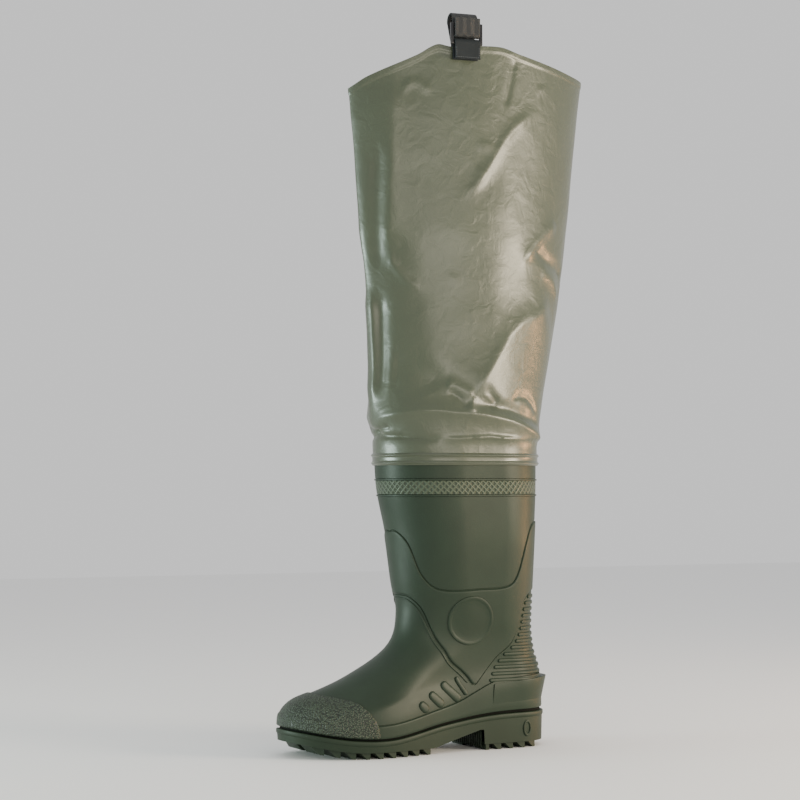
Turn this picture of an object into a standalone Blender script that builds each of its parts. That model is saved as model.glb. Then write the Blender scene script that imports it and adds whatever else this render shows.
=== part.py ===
"""A left hip wader: a moulded PVC boot with a cleated sole, a welded fabric leg and a belt strap.

Metres, +Z up. The origin is the middle of the heel's tread on the floor, the toe points along -Y
and the outer side of this left boot faces +X.

A point on the boot is given by two shares: "up" runs from the feather line (0) to the collar (1),
and "turn" runs from the toe or shin (0) round the outer side to the heel or calf (1), or round the
inner side with a minus sign.
"""

import math

import bmesh
import bpy
from mathutils import Vector

# Foot and sole
SOLE_LENGTH = 0.300
BALL_WIDTH = 0.112
HEEL_BACK = 0.040
HEEL_HEIGHT = 0.0375
BALL_HEIGHT = 0.0185
TOE_SPRING = 0.011
LUG_DEPTH = 0.0065
LUG_PITCH = 0.0145
LUG_LENGTH = 0.0120
LUG_TIP = 0.0035
LUG_LEAST = 0.0085
LUG_SINK = 0.0015
LUG_INSET = 0.0012
TREAD_CHANNEL = 0.010
TREAD_BACK = 0.507
TREAD_FRONT = 0.950
HEEL_LENGTH = 0.086
HEEL_PAD_RADIUS = 0.011
HEEL_PAD_CLEARANCE = 0.0020
ARCH_LENGTH = 0.066
ARCH_RISE = 0.0150
ARCH_SLANT = 0.060
SOLE_LIP = 0.0045
SOLE_LEDGE = 0.0012
SOLE_STEP = 0.0009

# Moulded upper
WALL = 0.0026
COLLAR_HEIGHT = 0.316
SHAFT_HALF_WIDTH = 0.055
FOXING_RELIEF = 0.0010
PANEL_RELIEF = 0.0010
STEP_RUN = 0.0008
SPUR_REACH = 0.0060
SPUR_EDGE = 0.0008
SPUR_START = 0.665
TOE_CAP_RELIEF = 0.0012
RIB_WIDTH = 0.0036
RIB_RELIEF = 0.0011
RIB_PITCH = 0.0066
RIB_BOTTOM = 0.0715
RIB_TOP = 0.160
RIDGE_CROWN = 0.6
COUNTER_START = 0.625
BAR_WIDTH = 0.0105
BAR_RELIEF = 0.0010
DISC_RADIUS = 0.0245
DISC_RELIEF = 0.0006
DISC_UP = 0.487
DISC_TURN = 0.442
DISC_SIDES = 16
BAND_DROP = 0.053
BAND_HEIGHT = 0.018
BAND_BOTTOM = COLLAR_HEIGHT - BAND_DROP
BAND_TOP = BAND_BOTTOM + BAND_HEIGHT
BAND_RIDGE = 0.0016
BAND_RELIEF = 0.0009

# Insole and the clearance between pieces that touch
INSOLE_THICKNESS = 0.004
INSOLE_EASE = 0.0012
FIT_GAP = 0.0003

# Fabric leg
LEG_WALL = 0.0010
LEG_OVERLAP = 0.018
LEG_BOTTOM = COLLAR_HEIGHT - LEG_OVERLAP
LEG_FRONT = 0.1845
LEG_BACK = 0.0985
LEG_HALF_WIDTH = 0.054
LEG_BLEND = 0.11
RIM_FRONT_HEIGHT = 0.686
RIM_BACK_HEIGHT = 0.7155
RIM_PEAK_RISE = 0.0365
RIM_INNER_SAG = 0.006
HEM_HEIGHT = 0.012
HEM_RELIEF = 0.0005
TAPE_HEIGHT = 0.0125
TAPE_LIP = 0.0024
TAPE_THICKNESS = 0.0010
TAPE_RIDGE = 0.0010

# Belt strap, with places measured from the rim: out of the leg's face and up along it
STRAP_WIDTH = 0.028
STRAP_THICKNESS = 0.0016
STRAP_ALONG = 0.385
STRAP_SEAT = 0.0009
TAB_LENGTH = 0.0145
BUCKLE_WIDTH = 0.035
BUCKLE_HEIGHT = 0.0225
BUCKLE_THICKNESS = 0.0034
BUCKLE_BAR = 0.0034
BUCKLE_LIFT = 0.0008
LOOP_RISE = 0.036
LOOP_RADIUS = 0.0080
TAIL_RISE = 0.005

# Columns round the boot and the leg, and the rings of their plain stretches
COLUMNS = 40
INNER_UPS = (1.0, 0.80, 0.62, 0.50, 0.40, 0.31, 0.24, 0.18, 0.12, 0.06, 0.0)
VAMP_SPREAD = 1.5
LEG_UPS = (0.015, 0.05, 0.10, 0.20, 0.40, 0.65, 0.85)
PROBE = 0.004

# Rings of the heel spur, with the share of its reach at each
SPUR_UPS = ((0.030, 0.05), (0.055, 0.50), (0.100, 1.0))

# The sole's plan, from the back of the heel: centre line and half width as shares of the ball width.
SOLE_PLAN = (
    # along, centre, half
    (0.00, 0.000, 0.355),
    (0.18, 0.000, 0.365),
    (0.42, 0.035, 0.350),
    (0.70, 0.015, 0.490),
    (0.88, -0.035, 0.455),
    (1.00, -0.060, 0.400),
)

# The feather line in side view, from the back of the heel: shares of heel lift and toe spring.
SOLE_SIDE = (
    # along, heel, spring
    (0.00, 1.00, 0.00),
    (0.25, 0.93, 0.00),
    (0.45, 0.55, 0.00),
    (0.66, 0.00, 0.00),
    (0.82, 0.00, 0.12),
    (1.00, 0.00, 1.00),
)

# Sections of the last and shaft. Front, back, nose and tail are shares of the sole's length from
# the back of the heel, the rises are shares of the collar height, and half is the share of the
# half width that the plan (1) or the shaft (0) gives. Round is the power of the plan's end curves.
SECTIONS = (
    # up, plan, front, front_rise, back, back_rise, half, nose, tail, round
    (0.00, 1.00, 0.986, 0.000, 0.006, 0.000, 0.970, 0.220, 0.133, 2.2),
    (0.06, 1.00, 0.977, 0.051, 0.010, 0.085, 0.980, 0.227, 0.133, 2.2),
    (0.12, 1.00, 0.938, 0.095, 0.011, 0.120, 0.950, 0.250, 0.133, 2.1),
    (0.20, 1.00, 0.861, 0.136, 0.014, 0.155, 0.900, 0.300, 0.140, 2.0),
    (0.30, 0.92, 0.741, 0.199, 0.027, 0.199, 0.880, 0.300, 0.153, 2.0),
    (0.40, 0.75, 0.595, 0.291, 0.037, 0.266, 0.880, 0.283, 0.167, 2.0),
    (0.50, 0.45, 0.556, 0.411, 0.043, 0.348, 0.890, 0.233, 0.183, 2.0),
    (0.60, 0.15, 0.569, 0.554, 0.042, 0.491, 0.920, 0.207, 0.187, 2.0),
    (0.72, 0.00, 0.588, 0.712, 0.038, 0.680, 1.000, 0.207, 0.187, 2.0),
    (0.86, 0.00, 0.622, 0.861, 0.030, 0.854, 1.050, 0.227, 0.207, 2.0),
    (1.00, 0.00, 0.632, 1.006, 0.028, 1.006, 1.080, 0.247, 0.233, 2.0),
)

# Lines on the moulded upper, as "up" against "turn": the foxing's top edge, and the lower and upper
# edges of the raised saddle that wraps the ankle.
FOXING_LINE = (
    # turn, up
    (0.00, 0.052),
    (0.50, 0.052),
    (0.57, 0.060),
    (0.62, 0.086),
    (0.67, 0.118),
    (1.00, 0.124),
)
SADDLE_LOW = (
    # turn, up
    (0.00, 0.557),
    (0.12, 0.550),
    (0.18, 0.529),
    (0.27, 0.446),
    (0.35, 0.391),
    (0.47, 0.317),
    (0.57, 0.196),
    (0.615, 0.112),
    (0.625, 0.150),
    (0.645, 0.305),
    (0.690, 0.400),
    (0.700, 0.508),
    (0.745, 0.588),
    (0.86, 0.608),
    (1.00, 0.612),
)
SADDLE_HIGH = (
    # turn, up
    (0.00, 0.722),
    (0.06, 0.724),
    (0.13, 0.692),
    (0.18, 0.625),
    (0.22, 0.594),
    (0.27, 0.575),
    (0.35, 0.574),
    (0.60, 0.600),
    (0.67, 0.633),
    (0.73, 0.720),
    (0.78, 0.762),
    (1.00, 0.775),
)

# The toe cap's rear edge, from the feather line up to the top of the toe.
CAP_EDGE = (
    # up, turn
    (0.012, 0.352),
    (0.045, 0.347),
    (0.060, 0.340),
    (0.079, 0.329),
    (0.112, 0.299),
    (0.148, 0.257),
    (0.166, 0.220),
    (0.176, 0.150),
    (0.179, 0.060),
)

# Short slanting bars on the quarter, from the foxing up: lower and upper ends.
QUARTER_BARS = (
    # low_up, low_turn, high_up, high_turn
    (0.062, 0.470, 0.110, 0.440),
    (0.062, 0.513, 0.150, 0.460),
    (0.066, 0.556, 0.196, 0.482),
)

# Sections of the fabric leg between the collar (0) and the rim (1). Front and back are shares of
# the rim's own reach, half is a share of the leg's half width, and corner is the power that turns
# a round section (1) into a lens with a fold line front and back (2).
LEG_SECTIONS = (
    # up, front, back, half, corner
    (0.000, 0.860, 0.390, 1.180, 1.00),
    (0.120, 0.862, 0.440, 1.120, 1.12),
    (0.350, 0.872, 0.656, 1.050, 1.35),
    (0.600, 0.918, 0.812, 1.030, 1.45),
    (0.850, 0.965, 0.932, 1.020, 1.50),
    (1.000, 1.000, 1.000, 1.000, 1.50),
)

# The outer side of the rim, along from front to back: rise above the line between its corners.
RIM_RISE = (
    # along, rise
    (0.00, 0.00),
    (0.05, 0.26),
    (0.21, 0.74),
    (0.28, 1.00),
    (0.33, 0.92),
    (0.53, 0.86),
    (0.62, 0.65),
    (0.75, 0.39),
    (0.90, 0.12),
    (1.00, 0.00),
)


def curve(rows, at, column):
    """Read a table's column at a place between its rows, as a smooth curve through them."""
    if at <= rows[0][0]:
        return rows[0][column]
    if at >= rows[-1][0]:
        return rows[-1][column]
    last = len(rows) - 1
    i = max(j for j in range(last) if rows[j][0] <= at)

    def slope(j):
        low, high = max(j - 1, 0), min(j + 1, last)
        return (rows[high][column] - rows[low][column]) / (rows[high][0] - rows[low][0])

    span = rows[i + 1][0] - rows[i][0]
    s = (at - rows[i][0]) / span
    low, high = rows[i][column], rows[i + 1][column]
    low_pull = slope(i) * span * (s ** 3 - 2 * s ** 2 + s)
    high_pull = slope(i + 1) * span * (s ** 3 - s ** 2)
    return low + (high - low) * (3 * s ** 2 - 2 * s ** 3) + low_pull + high_pull


def line(rows, turn):
    """Read a two-column table of a line that is alike on both sides of the boot."""
    at = abs(turn)
    for (x0, y0), (x1, y1) in zip(rows, rows[1:]):
        if at <= x1:
            return y0 + (y1 - y0) * (at - x0) / (x1 - x0)
    return rows[-1][1]


def closure(distance, length, power):
    """How far a plan has opened to its full width at a distance from its end."""
    s = min(max(distance / length, 0.0), 1.0)
    return (1 - (1 - s) ** power) ** (1 / power)


def sole_share(y):
    """Share of the sole's length from the back of the heel."""
    return (HEEL_BACK - y) / SOLE_LENGTH


def sole_y(share):
    """Place along Y of a share of the sole's length."""
    return HEEL_BACK - share * SOLE_LENGTH


def sole_centre(y):
    """Centre line of the sole."""
    return curve(SOLE_PLAN, sole_share(y), 1) * BALL_WIDTH


def sole_half(y):
    """Half width of the sole before its ends close."""
    return curve(SOLE_PLAN, sole_share(y), 2) * BALL_WIDTH


def toe_lift(y):
    """Height of the toe spring."""
    return TOE_SPRING * max(curve(SOLE_SIDE, sole_share(y), 2), 0.0)


def feather_height(y):
    """Height of the line where upper and sole meet."""
    heel = curve(SOLE_SIDE, sole_share(y), 1)
    return BALL_HEIGHT + (HEEL_HEIGHT - BALL_HEIGHT) * heel + toe_lift(y)


def boot_point(up, turn):
    """Point on the boot's plain outer surface."""
    plan, front, front_rise, back, back_rise, half, nose, tail, power = (
        curve(SECTIONS, up, column) for column in range(1, 10))
    angle = math.pi * turn
    forward = (1 + math.cos(angle)) / 2
    y_front, y_back = sole_y(front), sole_y(back)
    y = y_back + (y_front - y_back) * forward
    width = half * (plan * sole_half(y) + (1 - plan) * SHAFT_HALF_WIDTH)
    width *= closure(y - y_front, nose * SOLE_LENGTH, power)
    width *= closure(y_back - y, tail * SOLE_LENGTH, power)
    x = plan * sole_centre(y) + math.copysign(width, math.sin(angle))
    rise = front_rise + (back_rise - front_rise) * (1 - forward) ** (1 + plan)
    return Vector((x, y, plan * feather_height(y) + rise * COLLAR_HEIGHT))


def boot_normal(up, turn):
    """Direction out of the boot's surface."""
    low, high = max(up - PROBE, 0.0), min(up + PROBE, 1.0)
    along = boot_point(up, turn + PROBE) - boot_point(up, turn - PROBE)
    rising = boot_point(high, turn) - boot_point(low, turn)
    return along.cross(rising).normalized()


def boot_skin(up, turn, offset):
    """Point at a distance outside the boot's plain surface."""
    return boot_point(up, turn) + boot_normal(up, turn) * offset


def height_to_up(height, turn):
    """The "up" share at which the boot's surface reaches a height."""
    low, high = 0.0, 1.0
    for _ in range(20):
        middle = (low + high) / 2
        if boot_point(middle, turn).z < height:
            low = middle
        else:
            high = middle
    return (low + high) / 2


def turns(count):
    """Evenly spaced turns once round the boot, from the heel by the inner side."""
    return [2 * j / count - 1 for j in range(count)]


def material(name, colour, roughness, metallic=0.0):
    """A plain material."""
    made = bpy.data.materials.new(name)
    made.use_nodes = True
    shader = made.node_tree.nodes["Principled BSDF"]
    shader.inputs["Base Color"].default_value = (*colour, 1.0)
    shader.inputs["Roughness"].default_value = roughness
    shader.inputs["Metallic"].default_value = metallic
    return made


def finish(name, bm, made):
    """Turn a bmesh into a named object with outward faces."""
    bmesh.ops.recalc_face_normals(bm, faces=bm.faces)
    mesh = bpy.data.meshes.new(name)
    bm.to_mesh(mesh)
    bm.free()
    mesh.materials.append(made)
    shape = bpy.data.objects.new(name, mesh)
    bpy.context.scene.collection.objects.link(shape)
    return shape


def skin_between(bm, low, high, closed=True):
    """Faces between two rows of vertices."""
    last = len(low) if closed else len(low) - 1
    for i in range(last):
        j = (i + 1) % len(low)
        bm.faces.new((low[i], low[j], high[j], high[i]))


def add_hollow(bm, rings):
    """A ring-shaped skin: the rings follow each other and the last meets the first."""
    rows = [[bm.verts.new(point) for point in ring] for ring in rings]
    for low, high in zip(rows, rows[1:] + rows[:1]):
        skin_between(bm, low, high)


def add_slab(bm, rings):
    """A solid of stacked rings, whose ends are strips across from side to side."""
    rows = [[bm.verts.new(point) for point in ring] for ring in rings]
    for low, high in zip(rows, rows[1:]):
        skin_between(bm, low, high)
    half = len(rows[0]) // 2
    for row in (rows[0], rows[-1]):
        bm.faces.new((row[0], row[1], row[-1]))
        for i in range(1, half - 1):
            bm.faces.new((row[i], row[i + 1], row[-i - 1], row[-i]))
        bm.faces.new((row[half - 1], row[half], row[half + 1]))


def add_patch(bm, outer, inner):
    """A closed sheet between an outer and an inner grid of points."""
    top = [[bm.verts.new(point) for point in row] for row in outer]
    base = [[bm.verts.new(point) for point in row] for row in inner]
    for grid in (top, base):
        for low, high in zip(grid, grid[1:]):
            skin_between(bm, low, high, closed=False)

    def rim(grid):
        left = [row[0] for row in grid]
        right = [row[-1] for row in grid]
        return grid[0][:-1] + right[:-1] + grid[-1][:0:-1] + left[:0:-1]

    skin_between(bm, rim(base), rim(top))


def add_ridge(bm, path, width, relief):
    """A raised strip along a path of (up, turn) places on the boot, rooted in its wall."""
    sections = []
    for i, (up, turn) in enumerate(path):
        before, after = path[max(i - 1, 0)], path[min(i + 1, len(path) - 1)]
        along = boot_point(*after) - boot_point(*before)
        out = boot_normal(up, turn)
        side = out.cross(along).normalized() * (width / 2)
        middle = boot_point(up, turn)
        root, crest = middle - out * WALL / 2, middle + out * relief
        crown = side * RIDGE_CROWN
        sections.append([bm.verts.new(point) for point in (
            root - side, root + side, crest + crown, crest - crown)])
    for low, high in zip(sections, sections[1:]):
        skin_between(bm, low, high)
    bm.faces.new(sections[0])
    bm.faces.new(sections[-1])


def join(shape, tool, operation="UNION"):
    """Join or cut a shape with a hidden tool object."""
    tool.hide_render = True
    tool.display_type = "WIRE"
    change = shape.modifiers.new(tool.name, "BOOLEAN")
    change.operation = operation
    change.solver = "EXACT"
    change.object = tool


def spread(low, high, count, power=1.0):
    """Values from low to high, both included, evenly spaced or closer at the low end."""
    return [low + (high - low) * (i / (count - 1)) ** power for i in range(count)]


def upper_column(turn):
    """Outer places of the upper at one turn, from the feather line to the collar: up and offset."""
    run = STEP_RUN / COLLAR_HEIGHT
    ridge = BAND_RIDGE / COLLAR_HEIGHT
    foxing, low, high = line(FOXING_LINE, turn), line(SADDLE_LOW, turn), line(SADDLE_HIGH, turn)
    bottom, top = height_to_up(BAND_BOTTOM, turn), height_to_up(BAND_TOP, turn)
    stretches = (
        # from, to, rows, power, offset
        (0.0, foxing, 3, 1.0, FOXING_RELIEF),
        (foxing + run, low - run, 9, VAMP_SPREAD, 0.0),
        (low, high, 4, 1.0, PANEL_RELIEF),
        (high + run, bottom - run, 3, 1.0, 0.0),
        (bottom, bottom + ridge, 2, 1.0, BAND_RELIEF),
        (bottom + ridge + run, top - ridge - run, 2, 1.0, 0.0),
        (top - ridge, top, 2, 1.0, BAND_RELIEF),
        (top + run, 1.0, 2, 1.0, 0.0),
    )
    return [(up, offset) for start, end, rows, power, offset in stretches
            for up in spread(start, end, rows, power)]


def build_upper(made):
    """The moulded upper: one hollow wall, open at the collar and underneath."""
    around = turns(COLUMNS)
    columns = [upper_column(turn) for turn in around]
    rings = [[boot_skin(column[row][0], turn, column[row][1]) for turn, column in zip(around, columns)]
             for row in range(len(columns[0]))]
    rings += [[boot_skin(up, turn, -WALL) for turn in around] for up in INNER_UPS]
    lift = Vector((0, 0, FIT_GAP))
    bm = bmesh.new()
    add_hollow(bm, [[point + lift for point in ring] for ring in rings])
    upper = finish("upper", bm, made)
    for tool in (build_toe_cap(made), build_spur(made), build_heel_ribs(made), build_quarter_forms(made)):
        join(upper, tool)
    return upper


def build_toe_cap(made):
    """The toe cap: a raised shell ahead of a curved edge over the toe."""
    outer, inner = [], []
    for up, reach in CAP_EDGE:
        relief = TOE_CAP_RELIEF + (FOXING_RELIEF if up < FOXING_LINE[0][1] else 0.0)
        places = [(up, reach * share) for share in spread(-1.0, 1.0, 11)]
        outer.append([boot_skin(*place, relief) for place in places])
        inner.append([boot_skin(*place, -WALL / 2) for place in places])
    bm = bmesh.new()
    add_patch(bm, outer, inner)
    return finish("toe_cap_form", bm, made)


def build_spur(made):
    """The heel spur: a wedge round the back of the heel that stands out furthest at its top edge."""
    outer, inner = [], []
    for up, reach in SPUR_UPS:
        places = [(up, turn) for turn in spread(SPUR_START, 2 - SPUR_START, 11)]
        outer.append([boot_skin(
            *place, FOXING_RELIEF + SPUR_EDGE + SPUR_REACH * reach * math.sin(
                math.pi * (place[1] - SPUR_START) / (2 - 2 * SPUR_START)) ** 2) for place in places])
        inner.append([boot_skin(*place, -WALL / 2) for place in places])
    bm = bmesh.new()
    add_patch(bm, outer, inner)
    return finish("spur_form", bm, made)


def counter_turn(height):
    """Turn at which the counter begins at a height, on the saddle's rear lower edge."""
    turn = COUNTER_START
    while height_to_up(height, turn) > line(SADDLE_LOW, turn):
        turn += PROBE
    return turn


def build_heel_ribs(made):
    """The counter's level ribs, from the saddle's edge round the heel to the other side."""
    bm = bmesh.new()
    height = RIB_BOTTOM
    while height < RIB_TOP:
        start = counter_turn(height) + RIB_PITCH / SOLE_LENGTH
        path = [(height_to_up(height, turn), turn) for turn in spread(start, 2 - start, 8)]
        add_ridge(bm, path, RIB_WIDTH, RIB_RELIEF)
        height += RIB_PITCH
    return finish("heel_rib_forms", bm, made)


def build_quarter_forms(made):
    """The slanting quarter bars and the ankle discs, on both sides."""
    bm = bmesh.new()
    for side in (-1, 1):
        for low_up, low_turn, high_up, high_turn in QUARTER_BARS:
            path = list(zip(spread(low_up, high_up, 4), spread(side * low_turn, side * high_turn, 4)))
            add_ridge(bm, path, BAR_WIDTH, BAR_RELIEF)
        add_disc(bm, DISC_UP, side * DISC_TURN)
    return finish("quarter_forms", bm, made)


def add_disc(bm, up, turn):
    """A round plate on the boot's side, following its curve."""
    turn_share = (boot_point(up, turn + 0.01) - boot_point(up, turn - 0.01)).length / 0.02
    up_share = (boot_point(up + 0.01, turn) - boot_point(up - 0.01, turn)).length / 0.02
    centre = [(up, turn)]
    rings = []
    for reach in (DISC_RADIUS / 2, DISC_RADIUS):
        rings.append([(up + reach * math.sin(2 * math.pi * i / DISC_SIDES) / up_share,
                       turn + reach * math.cos(2 * math.pi * i / DISC_SIDES) / turn_share)
                      for i in range(DISC_SIDES)])
    faces = []
    for offset in (PANEL_RELIEF + DISC_RELIEF, -WALL / 2):
        middle = bm.verts.new(boot_skin(*centre[0], offset))
        near, far = ([bm.verts.new(boot_skin(*place, offset)) for place in ring] for ring in rings)
        skin_between(bm, near, far)
        for i in range(DISC_SIDES):
            bm.faces.new((middle, near[i], near[(i + 1) % DISC_SIDES]))
        faces.append(far)
    skin_between(bm, *faces)


def sole_ring(offset, height):
    """The sole's outline at a distance outside the upper's own, with its height from a function."""
    ring = []
    for turn in turns(COLUMNS):
        out = boot_normal(0.0, turn)
        out.z = 0
        point = boot_point(0.0, turn) + out.normalized() * offset
        ring.append(Vector((point.x, point.y, height(point.y))))
    return ring


def sole_edge(y, side):
    """Where the sole's side lies at a place along it."""
    up, plan, front, front_rise, back, back_rise, half, nose, tail, power = SECTIONS[0]
    width = sole_half(y) * half
    width *= closure(y - sole_y(front), nose * SOLE_LENGTH, power)
    width *= closure(sole_y(back) - y, tail * SOLE_LENGTH, power)
    return sole_centre(y) + side * width


def add_lug(bm, y_front, y_back, side, channel):
    """One saw tooth of the tread between the middle channel and the sole's side, slanting down to its rear edge."""
    stations = spread(y_front, y_back, 3)
    corners = [(sole_centre(y) + side * channel / 2, y) for y in stations]
    corners += [(sole_edge(y, side) - side * LUG_INSET, y) for y in reversed(stations)]
    if any((x - sole_centre(y)) * side < channel / 2 + LUG_LEAST for x, y in corners[3:]):
        return
    tip = LUG_TIP / (y_back - y_front)
    top = [bm.verts.new((x, y, toe_lift(y) + LUG_DEPTH + LUG_SINK)) for x, y in corners]
    bottom = [bm.verts.new((x, y_back - (y_back - y) * tip, toe_lift(y))) for x, y in corners]
    skin_between(bm, top, bottom)
    bm.faces.new(top)
    bm.faces.new(bottom)


def build_outsole(made):
    """The cleated outsole with its heel, arch and toe spring."""
    def under(y):
        return toe_lift(y) + LUG_DEPTH

    side = FOXING_RELIEF + SOLE_LEDGE
    bm = bmesh.new()
    add_slab(bm, [
        sole_ring(side - SOLE_STEP - LUG_INSET / 2, under),
        sole_ring(side - SOLE_STEP, lambda y: feather_height(y) - SOLE_LIP - STEP_RUN),
        sole_ring(side, lambda y: feather_height(y) - SOLE_LIP),
        sole_ring(side, feather_height),
    ])
    outsole = finish("outsole", bm, made)
    join(outsole, build_arch_cutter(made), "DIFFERENCE")
    join(outsole, build_tread(made))
    return outsole


def build_arch_cutter(made):
    """The hollow of the arch, between the heel's breast and the forefoot's tread."""
    breast = HEEL_BACK - HEEL_LENGTH
    roof = LUG_DEPTH + ARCH_RISE
    profile = (
        (breast, -LUG_SINK),
        (breast - LUG_SINK, roof),
        (breast - ARCH_LENGTH + ARCH_SLANT, roof),
        (breast - ARCH_LENGTH, LUG_DEPTH - LUG_SINK),
        (breast - ARCH_LENGTH, -LUG_SINK),
    )
    bm = bmesh.new()
    ends = [[bm.verts.new((x, y, z)) for y, z in profile] for x in (-BALL_WIDTH, BALL_WIDTH)]
    skin_between(bm, *ends)
    for end in ends:
        bm.faces.new(end)
    return finish("arch_cutter", bm, made)


def build_tread(made):
    """The tread's teeth on forefoot and heel and the round pad in the middle of the heel."""
    bm = bmesh.new()
    pad = bmesh.ops.create_cone(
        bm, cap_ends=True, segments=DISC_SIDES, radius1=HEEL_PAD_RADIUS, radius2=HEEL_PAD_RADIUS,
        depth=LUG_DEPTH + LUG_SINK)
    bmesh.ops.translate(bm, verts=pad["verts"], vec=(0, 0, (LUG_DEPTH + LUG_SINK) / 2))
    y = sole_y(TREAD_BACK)
    while y - LUG_LENGTH > sole_y(TREAD_FRONT):
        for hand in (-1, 1):
            add_lug(bm, y - LUG_LENGTH, y, hand, TREAD_CHANNEL)
        y -= LUG_PITCH
    breast = HEEL_BACK - HEEL_LENGTH
    y = breast + LUG_LENGTH / 2
    while y < HEEL_BACK - LUG_SINK:
        for hand in (-1, 1):
            add_lug(bm, max(y - LUG_LENGTH, breast + LUG_SINK), y, hand, 2 * (HEEL_PAD_RADIUS + HEEL_PAD_CLEARANCE))
        y += LUG_PITCH
    return finish("tread_forms", bm, made)


def build_insole(made):
    """The insole: a flat sheet on the outsole, inside the upper's wall."""
    inset = -(WALL + INSOLE_EASE)
    bm = bmesh.new()
    add_slab(bm, [
        sole_ring(inset, lambda y: feather_height(y) + FIT_GAP),
        sole_ring(inset, lambda y: feather_height(y) + FIT_GAP + INSOLE_THICKNESS),
    ])
    return finish("insole", bm, made)


def rim_height(turn):
    """Height of the leg's rim: a raised outer side and a straight inner one."""
    along = (1 - math.cos(math.pi * turn)) / 2
    base = RIM_FRONT_HEIGHT + (RIM_BACK_HEIGHT - RIM_FRONT_HEIGHT) * along
    if math.sin(math.pi * turn) > 0:
        return base + RIM_PEAK_RISE * curve(RIM_RISE, along, 1)
    return base - RIM_INNER_SAG * math.sin(math.pi * turn) ** 2


def leg_point(up, turn):
    """Point on the fabric leg's outer surface above the boot's collar."""
    front, back, half, corner = (curve(LEG_SECTIONS, up, column) for column in range(1, 5))
    angle = math.pi * turn
    forward = (1 + math.cos(angle)) / 2
    y = LEG_BACK * back - (LEG_BACK * back + LEG_FRONT * front) * forward
    x = LEG_HALF_WIDTH * half * math.copysign(abs(math.sin(angle)) ** corner, math.sin(angle))
    base = boot_skin(1.0, turn, FIT_GAP + LEG_WALL)
    share = min(up / LEG_BLEND, 1.0)
    share = share * share * (3 - 2 * share)
    collar = COLLAR_HEIGHT + 2 * LEG_WALL
    return Vector((base.x + (x - base.x) * share, base.y + (y - base.y) * share,
                   collar + (rim_height(turn) - collar) * up))


def leg_skin(up, turn, offset):
    """Point at a distance outside the fabric leg."""
    low, high = max(up - PROBE, 0.0), min(up + PROBE, 1.0)
    along = leg_point(up, turn + PROBE) - leg_point(up, turn - PROBE)
    rising = leg_point(high, turn) - leg_point(low, turn)
    return leg_point(up, turn) + along.cross(rising).normalized() * offset


def collar_ring(height, offset):
    """A ring round the boot's collar at a height."""
    return [boot_skin(height_to_up(height, turn), turn, offset) for turn in turns(COLUMNS)]


def leg_ring(up, offset):
    """A ring round the fabric leg above the collar."""
    return [leg_skin(up, turn, offset) for turn in turns(COLUMNS)]


def build_leg(made):
    """The fabric leg: a thin tube that overlaps the boot's collar and is hemmed at its rim."""
    hem = 1 - HEM_HEIGHT / (RIM_BACK_HEIGHT - COLLAR_HEIGHT)
    overlap = (LEG_BOTTOM, COLLAR_HEIGHT - LEG_WALL)
    rings = [collar_ring(height, FIT_GAP + LEG_WALL) for height in overlap]
    rings += [leg_ring(up, 0.0) for up in LEG_UPS]
    rings += [leg_ring(hem, 0.0), leg_ring(hem, HEM_RELIEF), leg_ring(1.0, HEM_RELIEF)]
    rings += [leg_ring(1.0, -LEG_WALL)]
    rings += [leg_ring(up, -LEG_WALL) for up in reversed(LEG_UPS)]
    rings += [collar_ring(height, FIT_GAP) for height in reversed(overlap)]
    bm = bmesh.new()
    add_hollow(bm, rings)
    return finish("leg", bm, made)


def build_seam_tape(made):
    """The welded tape round the leg's lower edge: two ridges, with a lip against the boot."""
    over = 2 * FIT_GAP + LEG_WALL
    seat = LEG_BOTTOM - FIT_GAP
    bottom = seat - TAPE_LIP
    step = TAPE_HEIGHT / 6
    rings = (
        # height, offset
        (bottom, FIT_GAP),
        (bottom + STEP_RUN, over + TAPE_THICKNESS),
        (bottom + step, over + TAPE_THICKNESS + TAPE_RIDGE),
        (bottom + 2 * step, over + TAPE_THICKNESS),
        (bottom + 4 * step, over + TAPE_THICKNESS),
        (bottom + 5 * step, over + TAPE_THICKNESS + TAPE_RIDGE),
        (bottom + 6 * step, over + TAPE_THICKNESS / 2),
        (bottom + 6 * step, over),
        (seat, over),
        (seat, FIT_GAP),
    )
    bm = bmesh.new()
    add_hollow(bm, [collar_ring(height, offset) for height, offset in rings])
    return finish("seam_tape", bm, made)


def strap_frame():
    """The strap's seat on the outer rim: its origin, and the ways out, up the leg and along the rim."""
    turn = math.acos(1 - 2 * STRAP_ALONG) / math.pi
    origin = leg_skin(1.0, turn, HEM_RELIEF)
    out = leg_skin(1.0, turn, 1.0) - leg_skin(1.0, turn, 0.0)
    along = Vector((0, 0, 1)).cross(out).normalized()
    return origin, out, out.cross(along).normalized(), along


def bar_height(number):
    """Place of a buckle bar's middle above the rim: 0 is the lower, 1 the middle, 2 the upper one."""
    return BUCKLE_LIFT + BUCKLE_BAR / 2 + number * (BUCKLE_HEIGHT - BUCKLE_BAR) / 2


def wrap_radius():
    """Radius of webbing folded round a buckle bar, at the middle of its thickness."""
    return math.hypot(BUCKLE_THICKNESS, BUCKLE_BAR) / 2 + FIT_GAP + STRAP_THICKNESS / 2


def arc(out, up, radius, start, end, count):
    """Places on an arc: degrees from the outward way, turning upward."""
    return [(out + radius * math.cos(math.radians(angle)), up + radius * math.sin(math.radians(angle)))
            for angle in spread(start, end, count)]


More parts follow.
